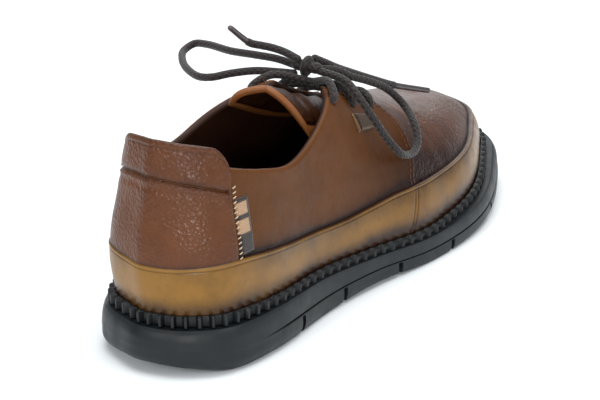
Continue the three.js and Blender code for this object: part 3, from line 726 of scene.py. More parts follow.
def metal(name, colour):
    """Brushed plate: metal with drawn streaks in its gloss."""
    r = Recipe(name, Metallic=1.0)
    streak = r.noise(1800, 3.0, (0.15, 0.15, 1.0))
    worn = tuple(0.6 * c for c in colour[:3]) + (1.0,)
    return r.set(
        Base_Color=r.mix(r.ramp(streak, 0.3, 0.7), worn, colour),
        Roughness=r.ramp(streak, 0.3, 0.7, 0.28, 0.5),
        Normal=r.bump(streak, 0.00004),
    )


# Sizes and colours that a maker may change


def colour_setting(name, description, red, green, blue):
    """A colour that the panel shows, given as a screen colour."""
    return bpy.props.FloatVectorProperty(
        name=name,
        description=description,
        subtype="COLOR",
        size=4,
        min=0,
        max=1,
        default=linear(red, green, blue),
    )


def length_setting(name, description, default):
    """A length in metres that the panel shows."""
    return bpy.props.FloatProperty(
        name=name, description=description, default=default, min=0, unit="LENGTH"
    )


class ShoeSizes(bpy.types.PropertyGroup):
    """Sizes of the fine pieces and grains"""

    lace: length_setting("Lace", "Diameter of the round lace", 0.0036)
    tip: length_setting("Lace tip", "Diameter of the lace's tip", 0.003)
    stitch: length_setting("Stitch", "Length of one stitch", 0.0021)
    pitch: length_setting("Pitch", "Distance from one stitch to the next", 0.003)
    thread: length_setting("Thread", "Thickness of the thread", 0.0006)
    pebble: length_setting("Pebble", "Width of a pebble of the grained leather", 0.0015)
    pebble_depth: length_setting("Pebble depth", "Height of the pebbles", 0.0004)
    crease: length_setting("Crease", "Depth of the flex creases", 0.00018)
    tooth: length_setting("Tooth", "Depth between the welt's ribs", 0.0023)
    slit: length_setting("Slit", "Width of the slits in the side of the sole", 0.0024)


class ShoeColours(bpy.types.PropertyGroup):
    """Colours of the leathers, threads, rubber, trims and floor"""

    # The burnish colours are also the colours of the painted shadow and shade lines
    quarter: colour_setting("Quarter", "Smooth brown leather", 92, 51, 9)
    quarter_dark: colour_setting("Quarter burnish", "Brown leather where burnished", 30, 9, 3)
    grain: colour_setting("Grained", "Pebbled red-brown leather", 96, 53, 24)
    grain_dark: colour_setting("Grained burnish", "Pebbled leather where burnished", 36, 15, 9)
    band: colour_setting("Band", "Waxed tan leather", 134, 94, 30)
    band_dark: colour_setting("Band burnish", "Tan leather where burnished", 46, 24, 9)
    binding: colour_setting("Binding", "Folded edge of the tongue", 126, 76, 38)
    lining: colour_setting("Lining", "Leather inside the shoe", 46, 24, 14)
    rubber: colour_setting("Rubber", "Moulded sole", 11, 17, 21)
    lace: colour_setting("Lace", "Waxed braided cord", 36, 26, 25)
    tip: colour_setting("Lace tip", "Tip of the lace", 62, 52, 52)
    thread: colour_setting("Thread", "Thread of the upper's seams", 88, 50, 28)
    pale_thread: colour_setting("Pale thread", "Thread beside the ribbon", 205, 180, 150)
    ribbon: colour_setting("Ribbon", "Woven ribbon", 48, 38, 33)
    ribbon_pale: colour_setting("Ribbon bars", "Pale bars of the ribbon", 200, 160, 124)
    plate: colour_setting("Plate", "Metal plate", 112, 90, 70)
    floor: colour_setting("Floor", "Studio floor", 246, 250, 252)


# Studio: the camera as fitted to the photograph, with its focal length in pixels of a picture
# 600 wide, the shoe's middle from the picture's middle, and the longer lens that frames it
VIEW_PLACE = (0.46576, -0.72918, 0.3885)
VIEW_FORWARD = np.array([-0.41503, 0.83958, -0.3505])
VIEW_RIGHT = np.array([0.89645, 0.44314, 0])
VIEW_UP = np.array([-0.15532, 0.31421, 0.93656])
VIEW_FOCAL = 1573.5
MIDDLE_LEFT, MIDDLE_DOWN = 86, 8
FRAME_FOCAL = 2209
FRAME_WIDTH = 600
FLOOR_REACH = 4
FLOOR_DROP = 0.0003
SKY_COLOUR = (0.94, 0.97, 1.0, 1)
SKY_STRENGTH = 0.42
# Name, place, the place it faces, side and power of each lamp
LAMPS = [
    ("top_lamp", (0.0, 0.2, 1.6), (0, 0.1, 0), 1.5, 24),
    ("window_lamp", (-0.75, 1.7, 0.8), (0, 0.12, 0.05), 1.1, 5.5),
    ("side_lamp", (1.5, -0.1, 0.9), (0, 0.08, 0.05), 0.9, 7),
    ("heel_lamp", (-0.25, -1.5, 0.85), (0, -0.02, 0.06), 0.45, 7),
    ("spark_lamp", (0.8, -1.35, 0.5), (0, 0.0, 0.06), 0.14, 6.5),
]

# Laces: places along the loops and ends in millimetres, and how the crossings lie
CROSSINGS = [(0, 0), (0, 1), (1, 0), (1, 2), (2, 1)]
LACE_LIFT = 0.0045
LACE_DIP = -0.0017
MEDIAL_LOOP = [
    (-9.3, 104.7, 89.8),
    (-18.5, 103.5, 92),
    (-29.5, 102.3, 92.8),
    (-43.5, 104.3, 92.2),
    (-61, 112, 91),
    (-69.8, 114.4, 89.6),
    (-71.3, 107.4, 88),
    (-66.4, 97.9, 87.2),
    (-57.4, 87.6, 86.6),
    (-45.7, 79.6, 86.6),
    (-38.9, 79.3, 87.4),
    (-32.3, 85.3, 88.4),
    (-24.1, 92.9, 88.6),
    (-15.2, 98, 87.8),
    (-9, 101.5, 87),
]
LATERAL_LOOP = [
    (1, 107.6, 88.8),
    (5.2, 115.4, 86.6),
    (9.2, 122.6, 82),
    (13.2, 131.6, 77.8),
    (17.4, 142.4, 71.4),
    (23.7, 146.8, 63.5),
    (34, 137.7, 58),
    (38.9, 131.3, 52.5),
    (40.7, 124.1, 50),
    (41, 115.6, 51),
    (41, 108.6, 54.5),
    (37, 103.6, 62.5),
    (33, 98.8, 72.4),
    (26.6, 98.6, 80.4),
    (17.4, 102.4, 86.6),
    (2.4, 104.4, 89),
]
BACK_END = [
    (-7.4, 102.5, 93.7),
    (-13, 101.7, 96.2),
    (-18.6, 99.8, 98.2),
    (-23.2, 96.4, 99.8),
    (-26.8, 93.1, 101.4),
    (-33.2, 87.3, 109),
]
FORWARD_END = [
    (-2.2, 109.1, 92.9),
    (1, 115.4, 89),
    (2.4, 122, 85.4),
    (4.2, 133.3, 80),
    (8, 146.9, 73.4),
    (11.6, 160, 67.4),
    (18.4, 183.6, 58.8),
]
BACK_TIP_LENGTH = 0.0105
FORWARD_TIP_LENGTH = 0.0255
KNOT = np.array([-0.0035, 0.104, 0.0904])


class SHOE_OT_studio(bpy.types.Operator):
    """Camera at the photograph's angle, a plain pale floor and soft lamps"""

    bl_idname = "shoe.studio"
    bl_label = "Studio"

    def execute(self, context):
        self.camera(context.scene)
        self.lamps(context.scene)
        reach = np.linspace(-FLOOR_REACH, FLOOR_REACH, 9)
        y, x = np.meshgrid(reach, reach, indexing="ij")
        points = np.stack([x, y, np.full_like(x, -FLOOR_DROP)], -1).reshape(-1, 3)
        mesh = bpy.data.meshes.new("floor")
        mesh.from_pydata(points.tolist(), [], ring_faces(9, 9, False).tolist())
        mesh.materials.append(matt_floor("floor", tuple(context.scene.shoe_colours.floor)))
        floor = bpy.data.objects.new("floor", mesh)
        context.scene.collection.objects.link(floor)
        return {"FINISHED"}

    def camera(self, scene):
        """The view that fits the photograph, turned by the least angle that centres the shoe."""
        off = MIDDLE_LEFT / VIEW_FOCAL * VIEW_RIGHT
        aim = unit(VIEW_FORWARD - off - MIDDLE_DOWN / VIEW_FOCAL * VIEW_UP)
        axis = np.cross(VIEW_FORWARD, aim)
        angle = float(np.arcsin(np.linalg.norm(axis)))
        turn = np.array(Matrix.Rotation(angle, 3, Vector(unit(axis).tolist())))
        data = bpy.data.cameras.new("camera")
        data.sensor_width = 36
        data.lens = data.sensor_width * FRAME_FOCAL / FRAME_WIDTH
        data.clip_start, data.clip_end = 0.05, 30
        camera = bpy.data.objects.new("camera", data)
        place = np.eye(4)
        place[:3, :3] = turn @ np.stack([VIEW_RIGHT, VIEW_UP, -VIEW_FORWARD], 1)
        place[:3, 3] = VIEW_PLACE
        camera.matrix_world = Matrix(place.tolist())
        scene.collection.objects.link(camera)
        scene.camera = camera
        scene.view_settings.view_transform = "Standard"

    def lamps(self, scene):
        """A pale sky, four wide square lamps and a small one, each facing a place on the shoe."""
        world = bpy.data.worlds.new("studio")
        world.use_nodes = True
        sky = world.node_tree.nodes["Background"].inputs
        sky["Color"].default_value = SKY_COLOUR
        sky["Strength"].default_value = SKY_STRENGTH
        scene.world = world
        for name, at, target, size, power in LAMPS:
            lamp = bpy.data.lights.new(name, "AREA")
            lamp.size, lamp.energy = size, power
            piece = bpy.data.objects.new(name, lamp)
            back = unit(np.array(at) - np.array(target))
            across = unit(np.cross((0, 0, 1), back))
            place = np.eye(4)
            place[:3, :3] = np.stack([across, np.cross(back, across), back], 1)
            place[:3, 3] = at
            piece.matrix_world = Matrix(place.tolist())
            scene.collection.objects.link(piece)


def lace_piece(name, part, material):
    """A piece from a tube's points, faces and UV."""
    points, faces, uv = part
    return finish_piece(name, points, faces, material, uv=uv)


class SHOE_OT_laces(bpy.types.Operator):
    """Round laces: crossings through the holes, a knot with two loops and two tipped ends"""

    bl_idname = "shoe.laces"
    bl_label = "Laces"

    def execute(self, context):
        sizes, colours = context.scene.shoe_sizes, context.scene.shoe_colours
        radius = sizes.lace / 2
        cord = braid("waxed_braid", tuple(colours.lace))
        tip = plain("tip_plastic", tuple(colours.tip), 0.28, 700, 0.00004, Coat_Weight=0.5)
        knot = lace_piece("knot_cord", self.knot(radius), cord)
        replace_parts(knot, "lace_knot")
        tied = [knot]
        for name, places in (("medial", MEDIAL_LOOP), ("lateral", LATERAL_LOOP)):
            path = even(spline(np.array(places) * MM), 0.0012)
            loop = lace_piece("loop_cord_" + name, tube(path, radius), cord)
            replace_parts(loop, "lace_loop_" + name)
            self.declare(loop, path, sizes.lace, "knot", tied)
            tied = []
        back = ("back", BACK_END, BACK_TIP_LENGTH)
        forward = ("forward", FORWARD_END, FORWARD_TIP_LENGTH)
        for name, places, reach in (back, forward):
            path = even(spline(np.array(places) * MM), 0.0008)
            run = along_path(path)
            in_tip = smooth((run - (run[-1] - reach)) / 0.0016)
            thick = radius + (0.8 * sizes.tip / 2 - radius) * in_tip
            end = lace_piece("end_cord_" + name, tube(path[:-2], thick[:-2]), cord)
            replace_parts(end, "lace_end_" + name)
            sleeve = path[run > run[-1] - reach]
            taper = sizes.tip / 2 * np.linspace(1, 0.88, len(sleeve))
            aglet = lace_piece("tip_sleeve_" + name, tube(sleeve, taper), tip)
            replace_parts(aglet, "aglet_" + name)
            self.declare(end, path[:-2], sizes.lace, "fitting", [aglet])
        crossings = lace_piece("crossing_cords", self.crossings(radius), cord)
        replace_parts(crossings, "lace_crossings")
        return {"FINISHED"}

    def declare(self, piece, path, diameter, far_end, others):
        """Takes a free cord's facts, where it leaves, its length and what ends it, and does nothing
        with them.
        """

    def knot(self, radius):
        """A turn of cord round the bundle, an ellipse that leans a little, over a short core."""
        turn = np.linspace(0, 2 * np.pi, 49)[:-1]
        ring = np.stack(
            [
                KNOT[0] + 0.0007 * np.sin(turn),
                KNOT[1] + 0.0028 * np.cos(turn),
                KNOT[2] + 0.0033 * np.sin(turn),
            ],
            -1,
        )
        reach = np.array([0.0048, 0.0004, -0.0004])
        core = tube(KNOT + np.linspace(-1, 1, 13)[:, None] * reach, 0.0027)
        return joined_tubes([tube(np.vstack([ring, ring[:2]]), radius), core])

    def crossings(self, radius):
        """Laces over the tongue from hole to hole: level share of the way against lift.

        Both ends go on a little way outward and turn down square to the last into their holes.
        """
        share = np.array([-1, -0.66, 0, 0.66, 1])
        at_hole, beside = LACE_LIFT - 0.0018, LACE_LIFT - 0.0008
        lift_at = np.array([at_hole, beside, LACE_DIP, beside, at_hole])
        ends = [0, -1]
        parts = []
        for start, end in CROSSINGS:
            a, b = HOLE_STATIONS[start], HOLE_STATIONS[end]
            at = a + (b - a) * (share + 1) / 2
            u, v = crest_side(at, share * (throat_half(at) + HOLE_INSET))
            top = skin(u, v, lift_at)
            down = -last_normal(u[ends], v[ends])
            out = unit(top[ends] - top[[1, -2]])
            lip = top[ends] + out * 0.0005 + down * 0.0018
            deep = top[ends] + out * 0.0004 + down * 0.006
            points = np.vstack([deep[:1], lip[:1], top, lip[1:], deep[1:]])
            parts.append(tube(even(spline(points), 0.0009), radius))
        return joined_tubes(parts)


HOLE_RADIUS = 0.0028
HOLE_DEPTH = 0.003
TOPLINE_ROUND = 0.0016
FRONT_STEPS = np.array([0, 0.15, 0.4, 0.8, 1.3, 2, 3, 4.5]) * MM / SIDE_LENGTH
UNDERLAP = 0.0158
FRONT_ARCH = 0.43 * THROAT_GAP
# Station, wander, reach and strength of each flex crease
FOLDS = [(0.6, 0.02, 0.6, 1), (0.635, -0.016, 0.5, 0.7), (0.575, 0.012, 0.5, 0.8)]


def quarter_burnish_and_shade(u, v):
    """Dark share: a soft burnished rise to the front low corner, and a narrow dark line along the
    band that is painted shadow where the band's edge meets the quarter.
    """
    front = smooth((np.abs(u) - 0.36) / (QUARTER_ROUND - 0.36))
    low = 1 - smooth((v - 0.2) / 0.55)
    above = np.maximum(v - band_v(u), 0)
    # Painted shadow just above the band's edge: a narrow strong bell over a wider one
    line = bell(above, 0.035) + 1.6 * bell(above, 0.011)
    edge = 1 - front_round(u, QUARTER_ROUND, 0.0035)
    return 0.14 + 0.72 * front * (0.2 + 0.8 * low) + 0.45 * line + 0.35 * edge


class SHOE_OT_upper(bpy.types.Operator):
    """Upper: the two quarters that run round the heel, and the vamp over the toes"""

    bl_idname = "shoe.upper"
    bl_label = "Upper"

    def execute(self, context):
        sizes, colours = context.scene.shoe_sizes, context.scene.shoe_colours
        smooth_leather = leather(
            "smooth_brown",
            tuple(colours.quarter),
            tuple(colours.quarter_dark),
            tuple(colours.lining),
            rough=0.5,
            coat=0.03,
            specular=0.2,
            grain=0.00007,
            grain_size=0.0011,
            mottled=0.1,
        )
        pebbled = leather(
            "pebbled_brown",
            tuple(colours.grain),
            tuple(colours.grain_dark),
            tuple(colours.lining),
            rough=0.4,
            coat=0.2,
            specular=0.2,
            grain=sizes.pebble_depth,
            grain_size=sizes.pebble,
            mottled=0.16,
        )
        quarters = self.quarters(smooth_leather)
        vamp = self.vamp(pebbled, sizes.crease)
        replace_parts(quarters, "upper")
        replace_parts(vamp, "upper")
        return {"FINISHED"}

    def quarters(self, material):
        """Outside up the last at a fixed step, a half round over the free edge, lining down.

        At the front edges the step ends in a quarter round, and the wall closes on its middle.
        A lace hole is a dent: the skin moves in by a soft step of the nearness to its middle.
        """
        half = np.linspace(0, QUARTER_ROUND - 0.016, 170)
        u = both_sides(np.concatenate([half, QUARTER_ROUND - FRONT_STEPS[::-1]]))
        edge = edge_v(u) - TOPLINE_ROUND / COLLAR_HEIGHT
        outer = QUARTER_STEP * front_round(u, QUARTER_ROUND, QUARTER_STEP) + 0.0001
        v = np.linspace(0, 1, 96)[:, None] * edge
        flat_u = np.broadcast_to(u, v.shape)
        outside = skin(bowed(u, v), v, outer)
        hole = near_holes(outside, HOLE_RADIUS)
        dent = HOLE_DEPTH * smooth(hole * 2.2)
        outside = outside - last_normal(flat_u, v) * dent[..., None]
        top = rim(bowed(u, edge), edge, outer, np.full_like(u, -WALL))
        back = v[::-2]
        inside = skin(bowed(u, back), back, -WALL)
        outside[0, :, 2] = inside[-1, :, 2] = arch(u)["low"] + GAP
        points = np.concatenate([outside, top, inside, outside[:1]])
        level = np.concatenate([v, np.repeat(edge[None], len(top), 0), back, v[:1]])
        level = level[:, [0, -1]]
        pinch = skin(bowed(u[[0, -1]], level), level, -WALL / 2)
        points = np.concatenate([pinch[:, :1], points, pinch[:, 1:]], 1)
        # Painted shade in the dents of the lace holes
        burnish_and_shade = quarter_burnish_and_shade(flat_u, v) + 0.9 * smooth(hole * 1.6)
        burnish_and_shade = np.concatenate([burnish_and_shade, np.repeat(burnish_and_shade[-1:] * 0.6, len(top), 0)])
        burnish_and_shade = rest_of_rows(burnish_and_shade, len(points), 0)
        inner = np.zeros((len(points), 1))
        inner[len(v) + len(top) // 2 : -1] = 1
        values = {"burnish_and_shade": np.pad(burnish_and_shade, ((0, 0), (1, 1)), mode="edge"), "inside": inner}
        return grid_piece("quarters", points, material, values=values)

    def vamp(self, material, crease):
        """Arches side by side from the throat to the toe; each goes over outside, back inside.

        Across an arch the level is a sine of an even step, which packs rows at its two feet.
        """
        across = np.sin(np.linspace(-1, 1, 161) * np.pi / 2)
        side = np.where(across < 0, -1, 1)
        v = 1 - np.abs(across)
        feet = len(v) - 1
        s = np.concatenate([[0, 0.0012, 0.004], np.linspace(0.01, 1, 120)])[:, None]
        s = np.where(s < 0.01, s, 1 - (1 - s) ** 1.25)
        start = self.vamp_start(v)
        u = start + (1 - start) * s
        whole_v = np.broadcast_to(v, u.shape)
        around = u * side
        over = skin(around, whole_v, self.folds(u, whole_v) * crease - 0.0001)
        under = skin(around, whole_v, -WALL - 0.0001)[:, ::-1]
        points = np.concatenate([over, under], 1)
        middle = skin(around[:1], whole_v[:1], -WALL / 2)
        points = np.concatenate([np.concatenate([middle, middle[:, ::-1]], 1), points])
        foot = arch(around)["low"] + GAP
        points[1:, 0, 2] = points[1:, -1, 2] = foot[:, 0]
        points[1:, feet, 2] = points[1:, feet + 1, 2] = foot[:, -1]
        dark = self.vamp_burnish_and_shade(u, whole_v)
        dark = np.concatenate([dark, 0 * dark], 1)
        dark = np.concatenate([dark[:1], dark])
        values = {"burnish_and_shade": dark, "inside": np.repeat([0, 1], len(v))}
        return grid_piece("vamp", points, material, True, values)

    def vamp_start(self, v):
        """u where each arch begins: on the throat's round end, or tucked under the quarter.

        The superellipse at the throat's end gives the arch's level distance from the crest.
        """
        a = arch(np.array([THROAT_ROUND]))
        c, b = np.cos(v * np.pi / 2), np.sin(v * np.pi / 2)
        level = c * (c ** a["full"] + b ** a["full"]) ** (-1 / a["full"])
        level = level * np.linalg.norm(a["crest"])
        near = np.clip(level / FRONT_ARCH, 0, 1)
        end = THROAT_END - (THROAT_END - THROAT_TOP) / 12 * (1 - np.sqrt(1 - near**2))
        start = np.where(near < 1, round_at(end), round_at(THROAT_END - UNDERLAP))
        return start - 0.03 * smooth((level - FRONT_ARCH) / 0.008)

    def folds(self, u, v):
        """Flex creases: soft troughs across the vamp that wander, each with a low ridge."""
        depth = 0
        for place, wander, reach, strength in FOLDS:
            at = place + wander * (1 - v)
            fade = np.exp(-(((v - 0.55) / reach) ** 4))
            depth = depth - strength * fade * bell(u - at, 0.009)
            depth = depth + 0.6 * strength * fade * bell(u - at - 0.018, 0.011)
        return depth

    def vamp_burnish_and_shade(self, u, v):
        """Painted shadow at the band's line, darker beside the quarters, light on the toe's crown.
        """
        above = np.maximum(v - band_v(u), 0)
        # Painted shadow along the band's top edge
        line = bell(above, 0.1) + 1.6 * bell(above, 0.02)
        beside = bell(np.maximum(u - QUARTER_ROUND, 0), 0.09) * (1 - smooth((v - 0.35) / 0.4))
        return 0.42 + 0.34 * line + 0.6 * beside


BAND_SEAM = QUARTER_ROUND - 0.004
SEAM_SLANT = 0.024
SEAM_DEPTH = 0.0004
SEAM_APART = 0.0022


class SHOE_OT_band(bpy.types.Operator):
    """Mudguard: a waxed leather band round the foot of the upper, with a rolled rim"""

    bl_idname = "shoe.band"
    bl_label = "Mudguard"

    def execute(self, context):
        colours = context.scene.shoe_colours
        waxed = leather(
            "waxed_tan",
            tuple(colours.band),
            tuple(colours.band_dark),
            tuple(colours.lining),
            rough=0.34,
            coat=0.1,
            specular=0.3,
            grain=0.00005,
            grain_size=0.0014,
            mottled=0.2,
        )
        low, high = np.linspace(0, 0.86, 18), np.linspace(0.88, 0.97, 10)
        t = np.concatenate([low, high, np.linspace(0.975, 1, 8)])[:, None]
        seam = BAND_SEAM + np.linspace(-0.034, 0.01, 90)
        u = np.concatenate([np.linspace(-1, 1, 1001)[:-1], seam, -seam])
        u = np.unique(np.round(u, 5))
        pressed = self.pressed(u, t)
        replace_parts(self.surface(u, t, pressed, waxed), "mudguard")
        return {"FINISHED"}

    def pressed(self, u, t):
        """Depth of the slanting front seam: two narrow bells side by side along the band."""
        off = (np.abs(u) - BAND_SEAM + SEAM_SLANT * (1 - t)) * SIDE_LENGTH
        return SEAM_DEPTH * (bell(off, 0.0004) + bell(off + SEAM_APART, 0.0004))

    def surface(self, u, t, pressed, material):
        """Leather's thickness over the quarter's step, as a sine that is fullest in the middle.

        A groove and a bead are narrow bells below the rim, and the rim ends in a quarter of a
        circle.
        """
        lift_at = quarter_lift(u)
        body = BAND_LEATHER * (0.86 + 0.2 * np.sin(np.pi * np.clip(t / 0.9, 0, 1)))
        groove = bell(t - 0.925, 0.012)
        bead = 0.0002 * bell(t - 0.96, 0.016)
        over = np.sqrt(np.maximum(0, 1 - np.clip((t - 0.96) / 0.04, 0, 1) ** 2))
        offset = lift_at + (body - 0.0003 * groove + bead) * over
        offset = offset - pressed * np.clip(1 - (t - 0.86) / 0.1, 0, 1)
        v = t * band_v(u)
        outside = skin(u, v, offset)
        inside = skin(u, v[::-4], lift_at - 0.0002)
        outside[0, :, 2] = arch(u)["low"] + GAP
        points = np.concatenate([outside, inside, outside[:1]])
        # Dark share of the band: darker low and near the top, lighter round the heel, darker along
        # the pressed seam
        low = 1 - smooth((t - 0.2) / 0.36)
        top = smooth((t - 0.62) / 0.3)
        # Painted shadow along the very top edge, and a painted highlight on the bead just below it
        rim_shadow_and_highlight = 0.9 * smooth((t - 0.975) / 0.02) - 0.35 * bell(t - 0.955, 0.012)
        heel = bell(u, 0.22)
        # The groove's term is painted shade in the groove
        dark = 0.28 + 0.8 * low + (0.36 - 0.2 * heel) * top + 0.3 * groove + rim_shadow_and_highlight
        dark = dark - 0.28 * heel + 0.35 * pressed / SEAM_DEPTH
        values = {"burnish_and_shade": rest_of_rows(dark, len(points), 1), "inside": 0}
        return grid_piece("band_leather", points, material, True, values)


TAB_ROUND = 0.0028
TAB_LINING = 0.014


def crease_drop(u):
    """How far the crease under the tab lies below the topline; more on the outer side."""
    return 0.0088 + 0.0016 * u / HEEL_ROUND


class SHOE_OT_heel(bpy.types.Operator):
    """Heel counter: a pebbled patch over the back, with the padded tab above the topline"""

    bl_idname = "shoe.heel"
    bl_label = "Heel counter and tab"

    def execute(self, context):
        pebbled = bpy.data.materials["pebbled_brown"]
        cut = np.array([0, 0.1, 0.35, 0.7, 1.2]) * MM / SIDE_LENGTH
        half = np.linspace(0, HEEL_ROUND - 0.006, 70)
        u = both_sides(np.concatenate([half, HEEL_ROUND - cut[::-1]]))
        over = front_round(u, HEEL_ROUND, COUNTER_LEATHER)
        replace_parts(self.counter(u, over, pebbled), "heel_counter")
        tab = self.tab(u, over, pebbled)
        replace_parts(tab, "heel_counter")
        return {"FINISHED"}

    def counter(self, u, over, material):
        """From under the band up to the crease, offset by the counter's face.

        The face goes in by a bell at the crease and by a shallow bell under it.
        """
        foot, seam = band_v(u) * 0.93, height_v(u, collar(u) - crease_drop(u))
        t = np.linspace(0, 1, 90)[:, None]
        v = foot + (seam - foot) * t
        tuck = bell(1 - t, 0.04)
        hollow = 0.0004 * bell(t - 0.88, 0.05)
        outside = skin(u, v, (COUNTER_FACE - 0.0014 * tuck - hollow) * over + 0.0002)
        inside = skin(u, v[::-6], 0.0003)
        points = np.concatenate([outside, inside, outside[:1]])
        # Painted shadow along the band's edge at the foot, painted shade in the crease under the
        # tab, darker at the cut edges and toward the sides
        dark = 0.12 + 1.1 * bell(t, 0.05) + 0.5 * tuck + 0.3 * (1 - over)
        dark = dark + 0.12 * smooth(np.abs(u) / HEEL_ROUND)
        values = {"burnish_and_shade": rest_of_rows(dark, len(points), 1), "inside": 0}
        return grid_piece("counter_leather", points, material, values=values)

    def tab(self, u, over, material):
        """From the crease up over the topline and down inside, with padding.

        Its top line ends in quarter circles at the sides. Outside it swells at once from the
        crease, as 1 less a sixth power, and inside its padding is a sine to the power of 0.7.
        """
        to_side = np.minimum((HEEL_ROUND - np.abs(u)) * SIDE_LENGTH / TAB_CORNER, 1)
        corner = TAB_CORNER * (1 - np.sqrt(1 - (1 - to_side) ** 2))
        top_height = collar(u) + TAB_RISE - corner - TAB_ROUND
        start = height_v(u, collar(u) - crease_drop(u) - 0.0004)
        top = height_v(u, np.maximum(top_height, collar(u) - 0.002))
        t = np.linspace(0, 1, 34)[:, None]
        v = start + (top - start) * t
        plump = np.sqrt(np.maximum(0, 1 - (2 * np.clip(t, 0, 0.5) - 1) ** 6)) * over
        bead = 0.00025 * bell(t - 0.96, 0.035) - 0.0002 * bell(t - 0.9, 0.03)
        outside = skin(u, v, 0.0006 + (COUNTER_FACE - 0.0004) * plump + bead * over)
        roll = rim(u, top, 0.0006 + (COUNTER_FACE - 0.0004) * over, np.full_like(u, -0.0004), 9)
        low = height_v(u, collar(u) - TAB_LINING)
        down = np.linspace(0, 1, 18)[:, None]
        fill = np.sin(np.pi * np.minimum(down * 1.1, 1)) ** 0.7
        padding = 0.0004 + 0.0012 * down + 0.0026 * over * fill
        inside = skin(u, top + (low - top) * down, -padding)
        points = np.concatenate([outside, roll, inside, outside[:1]])
        # Painted shade in the crease at the tab's foot and in the groove under its bead
        dark = 0.2 + 0.45 * bell(t, 0.12) + 0.25 * bell(t - 0.9, 0.03) + 0 * u
        inner = np.zeros((len(points), 1))
        inner[len(outside) + 6 : -1] = 1
        values = {"burnish_and_shade": rest_of_rows(dark, len(points), 0.4), "inside": inner}
        return grid_piece("heel_tab", points, material, values=values)


TONGUE_HALF = 0.023
TONGUE_THICKNESS = 0.0032
TONGUE_AHEAD = 0.009
TONGUE_BEHIND = 0.025
BINDING_WIDTH = 0.0038


class SHOE_OT_tongue(bpy.types.Operator):
    """Tongue: a padded leather sheet under the throat with a folded edge"""

    bl_idname = "shoe.tongue"
    bl_label = "Tongue"

    def execute(self, context):
        colours = context.scene.shoe_colours
        soft = leather(
            "tongue_leather",
            tuple(colours.quarter_dark),
            tuple(colours.binding),
            tuple(colours.lining),
            rough=0.4,
            coat=0.05,
            specular=0.25,
            grain=0.00012,
            grain_size=0.0013,
            mottled=0.08,
        )
        tongue = self.sheet(soft)
        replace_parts(tongue, "tongue")
        return {"FINISHED"}

    def sheet(self, material):
        """Two skins on the last, half the thickness to each side of a middle under the lining.

        Across and along, the thickness goes to 0 at the edges as the root of 1 less a high
        power. The folded edge is a bell beside its seam's bell, and the top end sinks by two
        soft steps, so that it stands clear of the crest line.
        """
        front = THROAT_END + TONGUE_AHEAD / SOLE_LENGTH
        top = THROAT_TOP - TONGUE_BEHIND / SOLE_LENGTH
        t = (0.5 - 0.5 * np.cos(np.linspace(0, np.pi, 71)))[:, None]
        side = np.sin(np.linspace(-1, 1, 61) * np.pi / 2)
        half = (TONGUE_HALF + 0.004 * (side > 0)) * (1 - 0.12 * t)
        skew = 0.068 * np.clip(side, 0, 1) ** 1.3 + 0.02 * np.clip(-side, 0, 1) ** 5
        u, v = crest_side(top + skew + (front - top - skew) * t, side * half)
        edge = np.sqrt(np.maximum(0, 1 - np.abs(side) ** 8))
        edge = edge * np.sqrt(np.maximum(0, 1 - np.abs(2 * t - 1) ** 24))
        close = np.minimum(t * 0.09, (1 - np.abs(side)) * half)
        roll = bell(close - 0.0016, 0.0013) * (t < 0.8)
        seam = bell(close - 0.0034, 0.0005) * (t < 0.8)
        thick = TONGUE_THICKNESS * edge / 2
        wrinkle = 0.0004 * np.sin(40 * t + 5 * side) * smooth(t / 0.3) * (1 - side**2)
        middle = -WALL - 0.0022 - 0.0016
        sink = 0.01 * (1 - smooth(t / 0.8))
        sink = sink - 0.0036 * (1 - smooth(t / 0.55)) * (1 - 0.6 * side**2)
        above = skin(u, v, middle + thick + (0.0005 * roll - 0.0005 * seam) * edge + wrinkle)
        below = skin(u, v, middle - thick - (0.0005 * roll - 0.0004 * seam) * edge + wrinkle)
        above[..., 2] -= sink
        below[..., 2] -= sink
        points = np.concatenate([above, below[:, ::-1]], 1)
        pale = smooth((BINDING_WIDTH - close) / 0.001) * (t < 0.8)
        shade = 0.1 + 0.9 * pale - 0.7 * seam
        values = {"burnish_and_shade": np.concatenate([shade, shade[:, ::-1]], 1), "inside": 0}
        return grid_piece("tongue_pad", points, material, True, values)


# Sole: share of its height against share of the flare that each tier's side goes in
TREAD_PROFILE = np.array([(0, 1.2), (0.1, 0.45), (0.26, 0), (0.46, 0.05), (0.5, 0.35)])
MIDSOLE_PROFILE = np.array([(0.5, 0.35), (0.55, 0.1), (0.72, 0.15), (0.9, 0.45), (1, 0.8)])
SLIT_TOP = 0.44
SLIT_DEPTH = 0.004
GROOVE_DEPTH = 0.0026
RIB_PITCH = 0.0064


